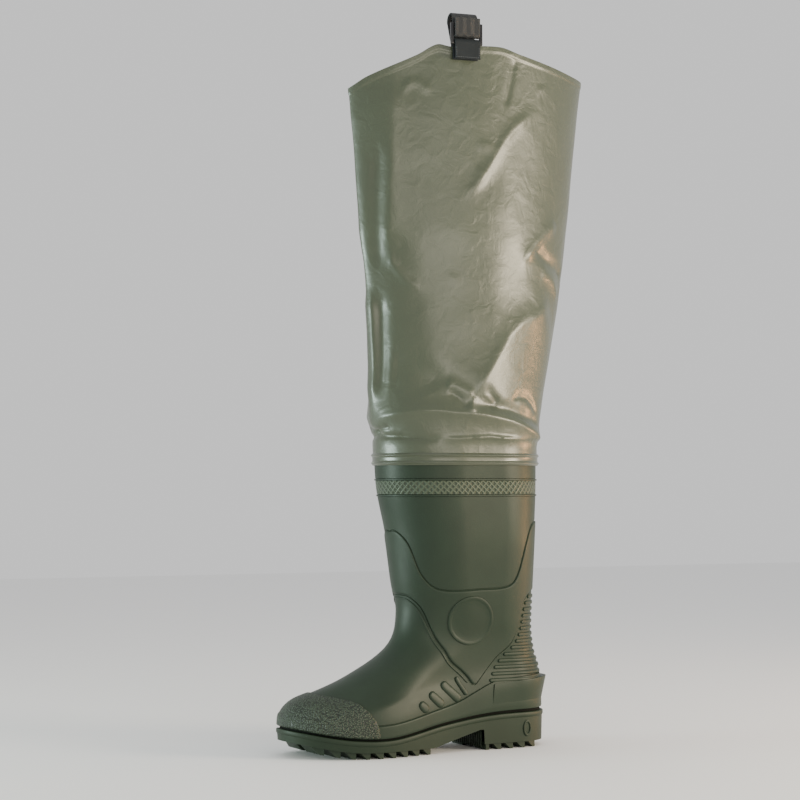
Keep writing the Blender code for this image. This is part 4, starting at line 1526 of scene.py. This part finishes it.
    def lugs(self, rubber: bpy.types.Material) -> list[bpy.types.Object]:
        """All teeth of forefoot and heel.

        Args:
            rubber: Their material.

        Returns:
            The teeth.
        """
        places = []
        y = self.boot.place(self.tread_back)
        while y - self.lug_length > self.boot.place(self.tread_front):
            places.append((y - self.lug_length, y, self.channel))
            y -= self.lug_pitch
        y = self.heel_front + self.lug_length / 2
        round_pad = 2 * (self.pad_radius + self.pad_clearance)
        while y < self.boot.heel_back - self.lug_sink:
            places.append((max(y - self.lug_length, self.heel_front + self.lug_sink), y, round_pad))
            y += self.lug_pitch
        shapes: list[bpy.types.Object] = []
        for front, back, channel in places:
            for side in (-1, 1):
                shapes += self.lug(front, back, side, channel, rubber)
        return shapes

    def oval(self, rubber: bpy.types.Material) -> bpy.types.Object:
        """The plain oval ring on the heel's outer side.

        Args:
            rubber: Its material.

        Returns:
            The ring.
        """
        y, z = self.oval_place
        ahead, here, behind = (float(self.edge(np.array(y + shift), 1))
                               for shift in (-self.oval_reach, 0.0, self.oval_reach))
        lean = math.atan2(behind - ahead, 2 * self.oval_reach)
        clear_selection()
        bpy.ops.mesh.primitive_torus_add(
            major_radius=self.oval_radius, minor_radius=self.oval_wire, major_segments=64, minor_segments=12,
            location=(here + self.side - self.step, y, z), rotation=(0, math.radians(90), -lean))
        ring = bpy.context.object
        ring.scale = (self.oval_stretch, 1, 1)
        bpy.ops.object.transform_apply(location=True, rotation=True, scale=True)
        ring.data.materials.append(rubber)
        return ring

    def soften(self, shape: bpy.types.Object, rubber: bpy.types.Material) -> bpy.types.Object:
        """Round a moulded detail's edges and give it its material."""
        shape.data.materials.append(rubber)
        apply_modifier(shape, "BEVEL", {"width": self.lug_round, "segments": 2})
        return shape

    def breast(self, rubber: bpy.types.Material) -> list[bpy.types.Object]:
        """Upright ribs on the heel's front face.

        Args:
            rubber: Their material.

        Returns:
            The ribs.
        """
        half = float(self.edge(np.array(self.heel_front), 1)) - self.rib_pitch
        size = (self.rib_width, 2 * self.rib_relief, self.roof - self.rib_pitch)
        return [self.soften(add_block("rib", (x, self.heel_front, self.roof / 2), size), rubber)
                for x in np.arange(-half, half, self.rib_pitch)]

    def pad(self, rubber: bpy.types.Material) -> bpy.types.Object:
        """The round pad in the middle of the heel.

        Args:
            rubber: Its material.

        Returns:
            The pad.
        """
        depth = self.lug_depth + self.lug_sink
        clear_selection()
        bpy.ops.mesh.primitive_cylinder_add(vertices=self.pad_sides, radius=self.pad_radius, depth=depth,
                                            location=(0, 0, depth / 2))
        pad = bpy.context.object
        bpy.ops.object.transform_apply(location=True)
        return self.soften(pad, rubber)


@dataclass
class Insole:
    """The insole: a flat sheet on the outsole, inside the upper's wall."""

    columns: int = 200
    thickness: float = 0.004
    ease: float = 0.0012
    bevel: float = 0.0006
    boot: BootForm = BootForm()

    def build(self) -> bpy.types.Object:
        """Make the insole.

        Returns:
            The piece.
        """
        turn = np.linspace(-1.0, 1.0, self.columns + 1)
        rings = []
        for inset, height in ((0.0, 0.0), (0.0, 0.8), (self.bevel, 1.0)):
            ring = self.boot.outline(turn, np.full_like(turn, -(self.boot.wall + self.ease + inset)))
            ring[..., 2] = self.boot.feather(ring[..., 1]) + self.boot.fit_gap + self.thickness * height
            rings.append(ring)
        points = np.stack(spine(rings[0])[::-1] + rings + spine(rings[-1]))
        insole = lay_grid("insole", points, (INSOLE_FOAM.build(),))
        return register(join_all("insole_skin", [insole]), "insole")


@dataclass(frozen=True)
class Crease:
    """A soft ridge or trough of the fabric along a path of turns and heights.

    Lift is its height, minus for a trough. Left and right are its widths on the two sides of the
    path's way, seen from outside, and power is 1 for a sharp crest and 2 for a round one.
    """

    lift: float
    left: float
    right: float
    power: float
    path: Table
    both: bool = False


# The creases of the standing leg: lift, widths, power, places.
CREASES = (
    # The fabric sags over the tape and bulges all round
    Crease(4.0 * MM, 11 * MM, 9 * MM, 1.15, (
        (-0.02, 0.3400), (0.105, 0.3458), (0.183, 0.3487), (0.267, 0.3508), (0.334, 0.3507), (0.393, 0.3486),
        (0.444, 0.3481), (0.505, 0.3465), (0.563, 0.3433), (0.613, 0.3407), (0.672, 0.3359), (0.741, 0.3300),
        (0.806, 0.3250), (0.95, 0.3240))),
    Crease(3.6 * MM, 12 * MM, 9 * MM, 1.2, (
        (-0.03, 0.3400), (-0.15, 0.3470), (-0.30, 0.3440), (-0.45, 0.3490), (-0.62, 0.3410), (-0.80, 0.3330),
        (-0.95, 0.3260))),
    # Hollow over the bulge at the back
    Crease(-2.6 * MM, 7 * MM, 5 * MM, 1.8, (
        (0.470, 0.3575), (0.544, 0.3569), (0.611, 0.3522), (0.695, 0.3454), (0.823, 0.3389)), True),
    # Edge of the flat facet low on the calf side
    Crease(4.2 * MM, 15 * MM, 36 * MM, 1.0, (
        (0.453, 0.3582), (0.466, 0.3707), (0.479, 0.3773), (0.514, 0.3964), (0.546, 0.4150), (0.574, 0.4336),
        (0.615, 0.4456), (0.669, 0.4533), (0.784, 0.4716))),
    # Small folds where the facet starts
    Crease(1.8 * MM, 4 * MM, 7 * MM, 1.3, (
        (0.362, 0.3795), (0.395, 0.3769), (0.431, 0.3717), (0.459, 0.3665))),
    Crease(1.3 * MM, 3 * MM, 4 * MM, 1.4, ((0.459, 0.3665), (0.453, 0.3564), (0.453, 0.3493))),
    Crease(-1.1 * MM, 4 * MM, 4 * MM, 1.6, ((0.370, 0.3730), (0.407, 0.3645), (0.434, 0.3520))),
    Crease(-1.3 * MM, 3 * MM, 3 * MM, 1.5, ((0.498, 0.3750), (0.526, 0.3673), (0.555, 0.3593))),
    Crease(-1.3 * MM, 3 * MM, 4 * MM, 1.5, (
        (0.611, 0.3623), (0.645, 0.3679), (0.691, 0.3664), (0.738, 0.3593), (0.790, 0.3483))),
    # Pucker at the front, with folds that run back from it
    Crease(-2.0 * MM, 3 * MM, 3 * MM, 1.5, (
        (-0.04, 0.3270), (0.033, 0.3265), (0.155, 0.3245), (0.245, 0.3222), (0.345, 0.3200)), True),
    Crease(-1.6 * MM, 2.5 * MM, 2.5 * MM, 1.6, ((-0.03, 0.3290), (0.05, 0.3330), (0.12, 0.3350)), True),
    Crease(1.4 * MM, 2.5 * MM, 2.5 * MM, 1.6, (
        (0.325, 0.3219), (0.403, 0.3214), (0.466, 0.3233), (0.527, 0.3245), (0.592, 0.3225), (0.70, 0.3210))),
    # Ridge behind the front facet, ending in a curl
    Crease(2.6 * MM, 15 * MM, 26 * MM, 1.3, (
        (0.240, 0.700), (0.226, 0.6698), (0.208, 0.6189), (0.189, 0.5676), (0.174, 0.5270),
        (0.178, 0.5083)), True),
    Crease(1.3 * MM, 3 * MM, 4 * MM, 1.5, (
        (0.178, 0.5150), (0.184, 0.5050), (0.204, 0.4961), (0.237, 0.4857), (0.280, 0.4771))),
    Crease(-2.0 * MM, 8 * MM, 9 * MM, 1.8, ((0.165, 0.630), (0.145, 0.580), (0.128, 0.530), (0.120, 0.490))),
    # Upright fold on the shin side, low down
    Crease(2.2 * MM, 6 * MM, 6 * MM, 1.5, (
        (0.060, 0.480), (0.055, 0.4349), (0.053, 0.3936), (0.030, 0.3575)), True),
    Crease(-2.4 * MM, 7 * MM, 8 * MM, 1.8, (
        (0.115, 0.4755), (0.112, 0.4655), (0.106, 0.4191), (0.085, 0.3626)), True),
    # Shallow hollow low on the shin side
    Crease(-2.2 * MM, 14 * MM, 24 * MM, 1.8, (
        (0.142, 0.3995), (0.254, 0.3961), (0.315, 0.3851), (0.335, 0.3703))),
    # Slanting crumple on the thigh, and small marks near the rim
    Crease(1.6 * MM, 6 * MM, 5 * MM, 1.2, (
        (0.633, 0.6702), (0.598, 0.6611), (0.561, 0.6501), (0.533, 0.6364), (0.511, 0.6220), (0.490, 0.6087),
        (0.473, 0.5971), (0.444, 0.5827), (0.412, 0.5702))),
    Crease(0.9 * MM, 3 * MM, 4 * MM, 1.4, ((0.505, 0.6260), (0.480, 0.6275), (0.455, 0.6255))),
    Crease(0.9 * MM, 4 * MM, 4 * MM, 1.4, ((0.455, 0.5890), (0.470, 0.5990), (0.452, 0.6050))),
    Crease(-1.2 * MM, 2.5 * MM, 3 * MM, 1.4, ((0.565, 0.7239), (0.552, 0.6981), (0.535, 0.6701))),
    Crease(0.9 * MM, 3 * MM, 3 * MM, 1.5, (
        (0.252, 0.6799), (0.278, 0.6904), (0.301, 0.6918), (0.321, 0.6844), (0.341, 0.6838))),
    Crease(0.7 * MM, 2.5 * MM, 3 * MM, 1.5, ((0.640, 0.6900), (0.655, 0.6960), (0.675, 0.6990))),
    # Buckled patch at the back edge
    Crease(2.3 * MM, 8 * MM, 6 * MM, 1.4, (
        (0.606, 0.5077), (0.656, 0.5283), (0.700, 0.5432), (0.773, 0.5535))),
    Crease(-2.4 * MM, 5 * MM, 6 * MM, 1.5, (
        (0.650, 0.5260), (0.732, 0.5125), (0.823, 0.5061), (0.90, 0.500)), True),
    Crease(1.4 * MM, 5 * MM, 5 * MM, 1.4, ((0.689, 0.5026), (0.775, 0.4918), (0.844, 0.4741))),
    Crease(0.6 * MM, 2 * MM, 2.5 * MM, 1.6, ((0.370, 0.4901), (0.385, 0.4875), (0.401, 0.4870))),
    # Plain folds of the inner side
    Crease(2.4 * MM, 16 * MM, 24 * MM, 1.4, ((-0.50, 0.370), (-0.56, 0.430), (-0.62, 0.500), (-0.66, 0.560))),
    Crease(-1.8 * MM, 9 * MM, 9 * MM, 1.7, ((-0.35, 0.640), (-0.42, 0.580), (-0.46, 0.520))),
)


@dataclass
class FabricLeg:
    """The fabric leg: a thin tube over the boot's collar, hemmed at its rim, with creases laid one by one."""

    outer_columns: int = 176
    inner_columns: int = 112
    overlap_rows: int = 6
    hem_height: float = 0.0068
    hem_relief: float = 0.0007
    hem_edge: float = 0.0012
    rim_round: float = 0.35
    settle: float = 0.006
    rim_calm: float = 0.010
    rim_least: float = 0.2
    crease_scale: float = 1.35
    crest_round: float = 0.05
    tip_lift: float = 0.15
    tip_length: float = 0.18
    waves: tuple[tuple[float, float], ...] = ((0.075, 1.3 * MM), (0.028, 0.35 * MM))
    seed: float = 7.3
    flat: tuple[float, float] = (0.60, 0.42)
    form: LegForm = LegForm()

    def build(self) -> bpy.types.Object:
        """Make the leg.

        Returns:
            The piece.
        """
        turn = np.concatenate([np.linspace(-1, 0, self.inner_columns + 1)[:-1],
                               np.linspace(0, 1, self.outer_columns + 1)])
        ups = np.concatenate([even(low, high, count) for low, high, count in LEG_ROWS])
        gap = self.form.boot.fit_gap
        sleeve = self.sleeve(turn, gap + self.form.wall)
        outer = np.concatenate([sleeve, self.face(ups[:, None], turn[None, :])])
        inside = outer - self.grid_normals(outer) * self.form.wall
        inside[: len(sleeve)] = self.sleeve(turn, gap)
        crown = (outer[-1] + inside[-1]) / 2 + np.array([0, 0, self.form.wall * self.rim_round])
        points = np.concatenate([outer, crown[None], inside[::-1], outer[:1]])
        rows = len(outer) - 1
        zones = [LegZone.OUTSIDE] * rows + [LegZone.EDGE] * 2 + [LegZone.LINING] * rows + [LegZone.OUTSIDE]
        leg = lay_grid("leg", points, (LEG_FABRIC.build(), LEG_LINING.build(), HEM_EDGE.build()), zones)
        piece = register(join_all("leg_skin", [leg], CLOTH_EDGE), "leg")
        area = sum(face.area for face in piece.data.polygons) / 2
        log.info("leg: one face is %.4f square metres", area)
        return piece

    def sleeve(self, turn: Grid, offset: float) -> Grid:
        """Rows of one face of the leg on the boot's collar, under the tape.

        Args:
            turn: Turns of the columns.
            offset: How far outside the boot the face lies.

        Returns:
            Grid of points.
        """
        boot = self.form.boot
        low, high = boot.collar_height - self.form.overlap, boot.collar_height - self.form.wall
        return np.stack([boot.ring(height, turn, offset) for height in even(low, high, self.overlap_rows)])

    def grid_normals(self, points: Grid) -> Grid:
        """Ways out of a grid whose first and last columns meet.

        Args:
            points: The grid.

        Returns:
            Vectors of length 1, one for each point.
        """
        wrapped = np.concatenate([points[:, -2:-1], points, points[:, 1:2]], axis=1)
        along = wrapped[:, 2:] - wrapped[:, :-2]
        rising = np.gradient(points, axis=0)
        return unit(np.cross(along, rising))

    def face(self, up: Grid, turn: Grid) -> Grid:
        """The outer face above the collar, creases and hem included.

        Args:
            up: Shares from collar to rim, as a column.
            turn: Turns, as a row.

        Returns:
            Grid of points.
        """
        up, turn = np.broadcast_arrays(up, turn)
        plain = self.form.points(up, turn)
        out = self.form.normals(up, turn)
        lift = np.zeros(up.shape)
        for crease in CREASES:
            for side in (1, -1) if crease.both else (1,):
                lift += self.crease_lift(crease, side, plain, out)
        lift += self.undulation(plain)
        below = (1 - up) * (self.form.rim(turn) - self.form.collar)
        lift *= smooth((plain[..., 2] - self.form.collar) / self.settle)
        lift *= smooth(below / self.rim_calm + self.rim_least)
        lift += self.hem_relief * smooth((self.hem_height - below) / self.hem_edge)
        return plain + out * lift[..., None]

    def crease_lift(self, crease: Crease, side: int, plain: Grid, out: Grid) -> Grid:
        """How far one crease moves each point out.

        Args:
            crease: The crease.
            side: 1 as given, -1 on the other side of the leg.
            plain: Points of the plain surface.
            out: Ways out of it.

        Returns:
            Distances.
        """
        places = np.array(crease.path)
        knots = self.form.at_height(places[:, 0] * side, places[:, 1])
        starts = distances(knots)
        nearest = np.full(plain.shape[:2], np.inf)
        hand = np.zeros(plain.shape[:2])
        way = np.zeros(plain.shape[:2])
        for number, (low, high) in enumerate(zip(knots, knots[1:])):
            step = high - low
            share = np.clip(((plain - low) @ step) / (step @ step), 0, 1)
            gap = plain - (low + share[..., None] * step)
            distance = np.linalg.norm(gap, axis=-1)
            closer = distance < nearest
            nearest = np.where(closer, distance, nearest)
            turned = (np.cross(np.broadcast_to(step, gap.shape), gap) * out).sum(-1) * side
            hand = np.where(closer, turned, hand)
            along = starts[number] + share * (starts[number + 1] - starts[number])
            way = np.where(closer, along / starts[-1], way)
        width = np.where(hand > 0, crease.left, crease.right)
        ends = smooth(np.minimum(way, 1 - way) / self.tip_length)
        taper = self.tip_lift + (1 - self.tip_lift) * ends
        crest = self.crest_round * width
        rounded = np.sqrt(nearest**2 + crest**2) - crest
        return self.crease_scale * crease.lift * taper * np.exp(-((rounded / width) ** crease.power))

    def undulation(self, plain: Grid) -> Grid:
        """The slack fabric's slow waves, seeded by place.

        Args:
            plain: Points of the plain surface.

        Returns:
            Distances out of it.
        """
        flat = plain.reshape(-1, 3)
        total = np.zeros(len(flat))
        for length, height in self.waves:
            scaled = flat / length + self.seed
            total += height * np.array([noise.noise(Vector(place)) for place in scaled])
        return total.reshape(plain.shape[:2])


@dataclass
class SeamTape:
    """The welded tape round the leg's lower edge: two round ridges and a lip against the boot."""

    columns: int = 360
    height: float = 0.0125
    lip: float = 0.0024
    thickness: float = 0.0004
    ridge: float = 0.0014
    ridge_width: float = 0.0013
    ridge_places: tuple[float, float] = (0.2, 0.84)
    rows: int = 34
    waver: float = 0.00035
    waver_length: float = 0.05
    form: LegForm = LegForm()

    def build(self) -> bpy.types.Object:
        """Make the tape.

        Returns:
            The piece.
        """
        turn = np.linspace(-1.0, 1.0, self.columns + 1)
        boot, gap = self.form.boot, self.form.boot.fit_gap
        over, seat = 2 * gap + self.form.wall, boot.collar_height - self.form.overlap - gap
        bottom = seat - self.lip
        ends = np.array(TAPE_ENDS)[:, 0]
        shares = np.concatenate([ends[:2], even(ends[2], ends[3], self.rows), ends[4:]])
        heights = bottom + self.height * shares
        offsets = over + self.thickness * between(TAPE_ENDS, shares)
        for place in self.ridge_places:
            away = (heights - bottom - self.height * place) / self.ridge_width
            offsets += self.ridge * np.exp(-(away**2))
        section = [(bottom, gap), *zip(heights, offsets), (heights[-1], over), (seat, over), (seat, gap),
                   (bottom, gap)]
        points = np.stack([boot.ring(height, turn, offset) for height, offset in section])
        for row in range(1, len(heights) + 1):
            sway = [noise.noise(Vector(place) / self.waver_length) for place in points[row]]
            points[row, :, 2] += self.waver * np.array(sway) * (row / len(heights))
        tape = lay_grid("tape", points, (SEAM_TAPE.build(),))
        return register(join_all("seam_tape_skin", [tape], CLOTH_EDGE), "seam_tape")


@dataclass
class BeltStrap:
    """The belt strap on the raised rim: stitched tab, ladder buckle and webbing loop."""

    width: float = 0.028
    thickness: float = 0.0016
    along_rim: float = 0.385
    seat: float = 0.0009
    tab_length: float = 0.0145
    buckle_width: float = 0.035
    buckle_height: float = 0.0225
    buckle_thickness: float = 0.0034
    buckle_bar: float = 0.0034
    buckle_lift: float = 0.0008
    slot_round: float = 0.0006
    loop_rise: float = 0.036
    loop_radius: float = 0.0080
    tail_rise: float = 0.005
    hem_relief: float = 0.0005
    arc_points: int = 28
    strip_step: float = 0.0012
    strip_inset: float = 0.003
    strip_columns: int = 7
    stitch_length: float = 0.0018
    stitch_radius: float = 0.00030
    stitch_pitch: float = 0.0024
    stitch_inset: float = 0.0016
    stitches_up: int = 4
    form: LegForm = LegForm()

    def build(self) -> list[bpy.types.Object]:
        """Make tab, buckle and loop."""
        return [self.tab(), self.buckle(), self.loop()]

    def axes(self) -> tuple[Grid, Grid, Grid, Grid]:
        """The strap's seat on the rim.

        Returns:
            Its origin, and the ways out, up the leg and along the rim.
        """
        turn = np.array(math.acos(1 - 2 * self.along_rim) / math.pi)
        up = np.array(1.0)
        out = self.form.normals(up, turn)
        origin = self.form.points(up, turn) + out * self.hem_relief
        along = unit(np.cross(np.array([0.0, 0.0, 1.0]), out))
        return origin, out, unit(np.cross(out, along)), along

    @property
    def radius(self) -> float:
        """Radius of webbing folded round a buckle bar, at the middle of its thickness."""
        corner = math.hypot(self.buckle_thickness, self.buckle_bar) / 2
        return corner + self.form.boot.fit_gap + self.thickness / 2

    @property
    def depth(self) -> float:
        """How far out of the leg the buckle's middle lies."""
        return self.form.boot.fit_gap + self.thickness / 2 + self.radius

    def bar(self, number: int) -> float:
        """Place of a buckle bar's middle above the rim: 0 is the lower one, 2 the upper one."""
        return self.buckle_lift + self.buckle_bar / 2 + number * (self.buckle_height - self.buckle_bar) / 2

    def arc(self, out: float, up: float, radius: float, start: float, end: float) -> Grid:
        """Places on an arc, in degrees from the outward way and turning upward."""
        angle = np.radians(even(start, end, self.arc_points))
        return np.stack([out + radius * np.cos(angle), up + radius * np.sin(angle)], axis=-1)

    def strip(self, name: str, path: Grid, finish: bpy.types.Material) -> bpy.types.Object:
        """Flat webbing with soft edges along a path.

        Args:
            name: Name of the object.
            path: Places out and up from the seat.
            finish: Its material.

        Returns:
            The strip.
        """
        origin, out, rising, along = self.axes()
        way = distances(path)
        at = even(0, way[-1], int(way[-1] / self.strip_step))
        path = np.stack([np.interp(at, way, path[:, 0]), np.interp(at, way, path[:, 1])], axis=-1)
        middle = origin + path[:, :1] * out + path[:, 1:] * rising
        side = unit(np.cross(np.gradient(middle, axis=0), along))
        half, deep = self.width / 2, self.thickness / 2
        flat = even(-half + self.strip_inset, half - self.strip_inset, self.strip_columns)
        top = [(-half + inset, lift) for inset, lift in WEBBING_EDGE] + [(x, 1.0) for x in flat]
        top += [(half - inset, lift) for inset, lift in reversed(WEBBING_EDGE)]
        bottom = [(-x, -lift) for x, lift in top]
        profile = bottom[-1:] + top + bottom
        columns = [middle + along * x - side * (deep * lift) for x, lift in profile]
        points = np.stack(columns, axis=1)
        caps = [np.repeat(points[row].mean(axis=0)[None, None], points.shape[1], axis=1) for row in (0, -1)]
        return lay_grid(name, np.concatenate([caps[0], points, caps[1]]), (finish,))

    def tab(self) -> bpy.types.Object:
        """The tab on the leg's outer face, folded over the buckle's lower bar, with its stitches.

        Returns:
            The piece.
        """
        radius, depth = self.radius, self.depth
        path = [[(depth - radius, -self.tab_length)], self.arc(depth, self.bar(0), radius, 180, 0),
                [(depth + radius, -self.tab_length)]]
        shapes = [self.strip("tab", np.concatenate(path), TAB_WEBBING.build())]
        shapes += self.stitches(depth + radius + self.thickness / 2)
        return register(join_all("strap_tab_skin", shapes, CLOTH_EDGE), "strap_tab")

    def stitches(self, face: float) -> list[bpy.types.Object]:
        """Rows of stitches along the tab's lower edge and up its sides.

        Args:
            face: How far out the tab's face lies.

        Returns:
            The stitches.
        """
        origin, out, rising, along = self.axes()
        thread = THREAD.build()
        reach, low = self.width / 2 - self.stitch_inset, self.stitch_inset - self.tab_length
        places = [(x, low, along) for x in np.arange(-reach, reach + WELD, self.stitch_pitch)]
        places += [(x, low + number * self.stitch_pitch, rising)
                   for x in (-reach, reach) for number in range(1, self.stitches_up + 1)]
        shapes = []
        for x, z, way in places:
            clear_selection()
            bpy.ops.mesh.primitive_uv_sphere_add(segments=10, ring_count=6, radius=1.0)
            bead = bpy.context.object
            ways = (way * self.stitch_length / 2, np.cross(out, way) * self.stitch_radius,
                    out * self.stitch_radius)
            turn_mesh(bead, origin + out * face + along * x + rising * z, ways)
            bead.data.materials.append(thread)
            shapes.append(bead)
        return shapes

    def buckle(self) -> bpy.types.Object:
        """The ladder buckle: a rounded frame of two rails and three bars.

        Returns:
            The piece.
        """
        origin, out, rising, along = self.axes()
        block = add_block("buckle", (self.depth, 0, self.buckle_lift + self.buckle_height / 2),
                          (self.buckle_thickness, self.buckle_width, self.buckle_height))
        slot_width = self.width + 2 * self.form.boot.fit_gap
        for number in (0, 1):
            low, high = self.bar(number) + self.buckle_bar / 2, self.bar(number + 1) - self.buckle_bar / 2
            cut_away(block, add_block("slot", (self.depth, 0, (low + high) / 2),
                                      (2 * self.buckle_thickness, slot_width, high - low)))
        apply_modifier(block, "BEVEL", {"width": self.slot_round, "segments": 4})
        turn_mesh(block, origin, (out, along, rising))
        block.data.materials.append(BUCKLE_PLASTIC.build())
        return register(join_all("buckle_skin", [block], HARD_EDGE), "buckle")

    def loop(self) -> bpy.types.Object:
        """The loop: from inside the rim, up and over, and round the buckle's middle bar.

        Returns:
            The piece.
        """
        radius, depth = self.radius, self.depth
        inside = -(self.hem_relief + self.form.wall + self.seat + self.thickness / 2)
        crown = self.loop_rise - self.loop_radius - self.thickness / 2
        path = np.concatenate([
            [(inside, -self.tab_length), (inside, self.form.boot.fit_gap)],
            self.arc(depth - radius - self.loop_radius, crown, self.loop_radius, 180, 0),
            self.arc(depth, self.bar(1), radius, 180, 360),
            [(depth + radius, self.bar(2) + self.buckle_bar / 2 + self.tail_rise)],
        ])
        strip = self.strip("loop", path, LOOP_WEBBING.build())
        return register(join_all("belt_loop_skin", [strip], CLOTH_EDGE), "belt_loop")


@dataclass(frozen=True)
class SoftLight:
    """A rectangular soft light that faces the wader.

    Its place is across to the right as the camera sees it, near toward the camera, and rise over
    the wader's middle. Size is width and height, power is in watts and colour is sRGB hex.
    """

    name: str
    across: float
    near: float
    rise: float
    size: tuple[float, float]
    power: float
    colour: str


LIGHTS = (
    SoftLight("window, warm, right", 1.9, 0.55, 0.13, (0.8, 0.48), 46.0, "#FFEFD2"),
    SoftLight("front, soft", 0.9, 2.0, 0.18, (1.5, 0.55), 15.0, "#FFF6E2"),
    SoftLight("low fill, cool, left", -1.8, 0.45, -0.20, (0.8, 0.45), 36.0, "#DCF4EA"),
    SoftLight("side fill, cool green, left", -1.8, 0.7, 0.55, (0.9, 1.1), 1.5, "#D2F0DC"),
    SoftLight("top, soft", 0.0, 0.3, 2.0, (1.6, 1.6), 5.0, "#FFFFFF"),
    SoftLight("edge strip, warm, right", 1.5, -0.45, -0.22, (0.3, 0.28), 9.0, "#FFBE80"),
)


@dataclass
class Studio:
    """Camera, soft lights and a plain pale floor."""

    eye: tuple[float, float, float] = (1.924, -1.117, 0.275)
    heading: float = 61.0
    focal_px: float = 2075.5
    frame_px: float = 800.0
    aim_px: tuple[float, float] = (-62.0, 85.0)
    sensor: float = 36.0
    floor_size: float = 8.0
    target: tuple[float, float, float] = (0.0, -0.06, 0.38)
    sky: float = 0.84

    def build(self) -> None:
        """Set up the studio."""
        self.camera()
        self.floor()
        world = bpy.data.worlds.new("studio")
        world.use_nodes = True
        bpy.context.scene.world = world
        background = world.node_tree.nodes["Background"]
        background.inputs["Color"].default_value = linear("#FFFFFF")
        background.inputs["Strength"].default_value = self.sky
        for light in LIGHTS:
            self.lamp(light)

    def axes(self) -> tuple[Vector, Vector]:
        """The ways ahead of the camera and to its right."""
        angle = math.radians(self.heading)
        return Vector((-math.sin(angle), math.cos(angle), 0)), Vector((math.cos(angle), math.sin(angle), 0))

    def camera(self) -> None:
        """The photo's camera, turned toward the wader."""
        ahead, right = self.axes()
        aim = ahead * self.focal_px + right * self.aim_px[0] + Vector((0, 0, self.aim_px[1]))
        clear_selection()
        bpy.ops.object.camera_add(location=self.eye, rotation=aim.to_track_quat("-Z", "Y").to_euler())
        camera = bpy.context.object
        camera.data.sensor_width = self.sensor
        camera.data.lens = self.sensor * self.focal_px / self.frame_px
        bpy.context.scene.camera = camera

    def floor(self) -> None:
        """A matt pale floor."""
        clear_selection()
        bpy.ops.mesh.primitive_plane_add(size=self.floor_size)
        floor = bpy.context.object
        floor.name = "floor"
        pale = bpy.data.materials.new("matt white paper")
        pale.use_nodes = True
        shader = pale.node_tree.nodes["Principled BSDF"]
        shader.inputs["Base Color"].default_value = linear("#F2F2F2")
        shader.inputs["Roughness"].default_value = 0.9
        floor.data.materials.append(pale)
        floor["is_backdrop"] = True

    def lamp(self, light: SoftLight) -> None:
        """Set up one light.

        Args:
            light: Its place, size and power.
        """
        ahead, right = self.axes()
        target = Vector(self.target)
        place = target + right * light.across - ahead * light.near + Vector((0, 0, light.rise))
        clear_selection()
        bpy.ops.object.light_add(type="AREA", location=place,
                                 rotation=(target - place).to_track_quat("-Z", "Y").to_euler())
        lamp = bpy.context.object
        lamp.name = light.name
        lamp.data.shape = "RECTANGLE"
        lamp.data.size, lamp.data.size_y = light.size
        lamp.data.energy = light.power
        lamp.data.color = linear(light.colour)[:3]


def corners() -> list[list[float]]:
    """Lowest and highest corner of what is shown, as plain lists."""
    return [list(corner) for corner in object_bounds()]


def main() -> None:
    """Build the wader's pieces in order, then the studio."""
    logging.basicConfig(level=logging.INFO, format="%(name)s: %(message)s")
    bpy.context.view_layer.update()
    Outsole().build()
    MouldedUpper().build()
    Insole().build()
    FabricLeg().build()
    SeamTape().build()
    BeltStrap().build()
    Studio().build()


if __name__ == "__main__":
    main()
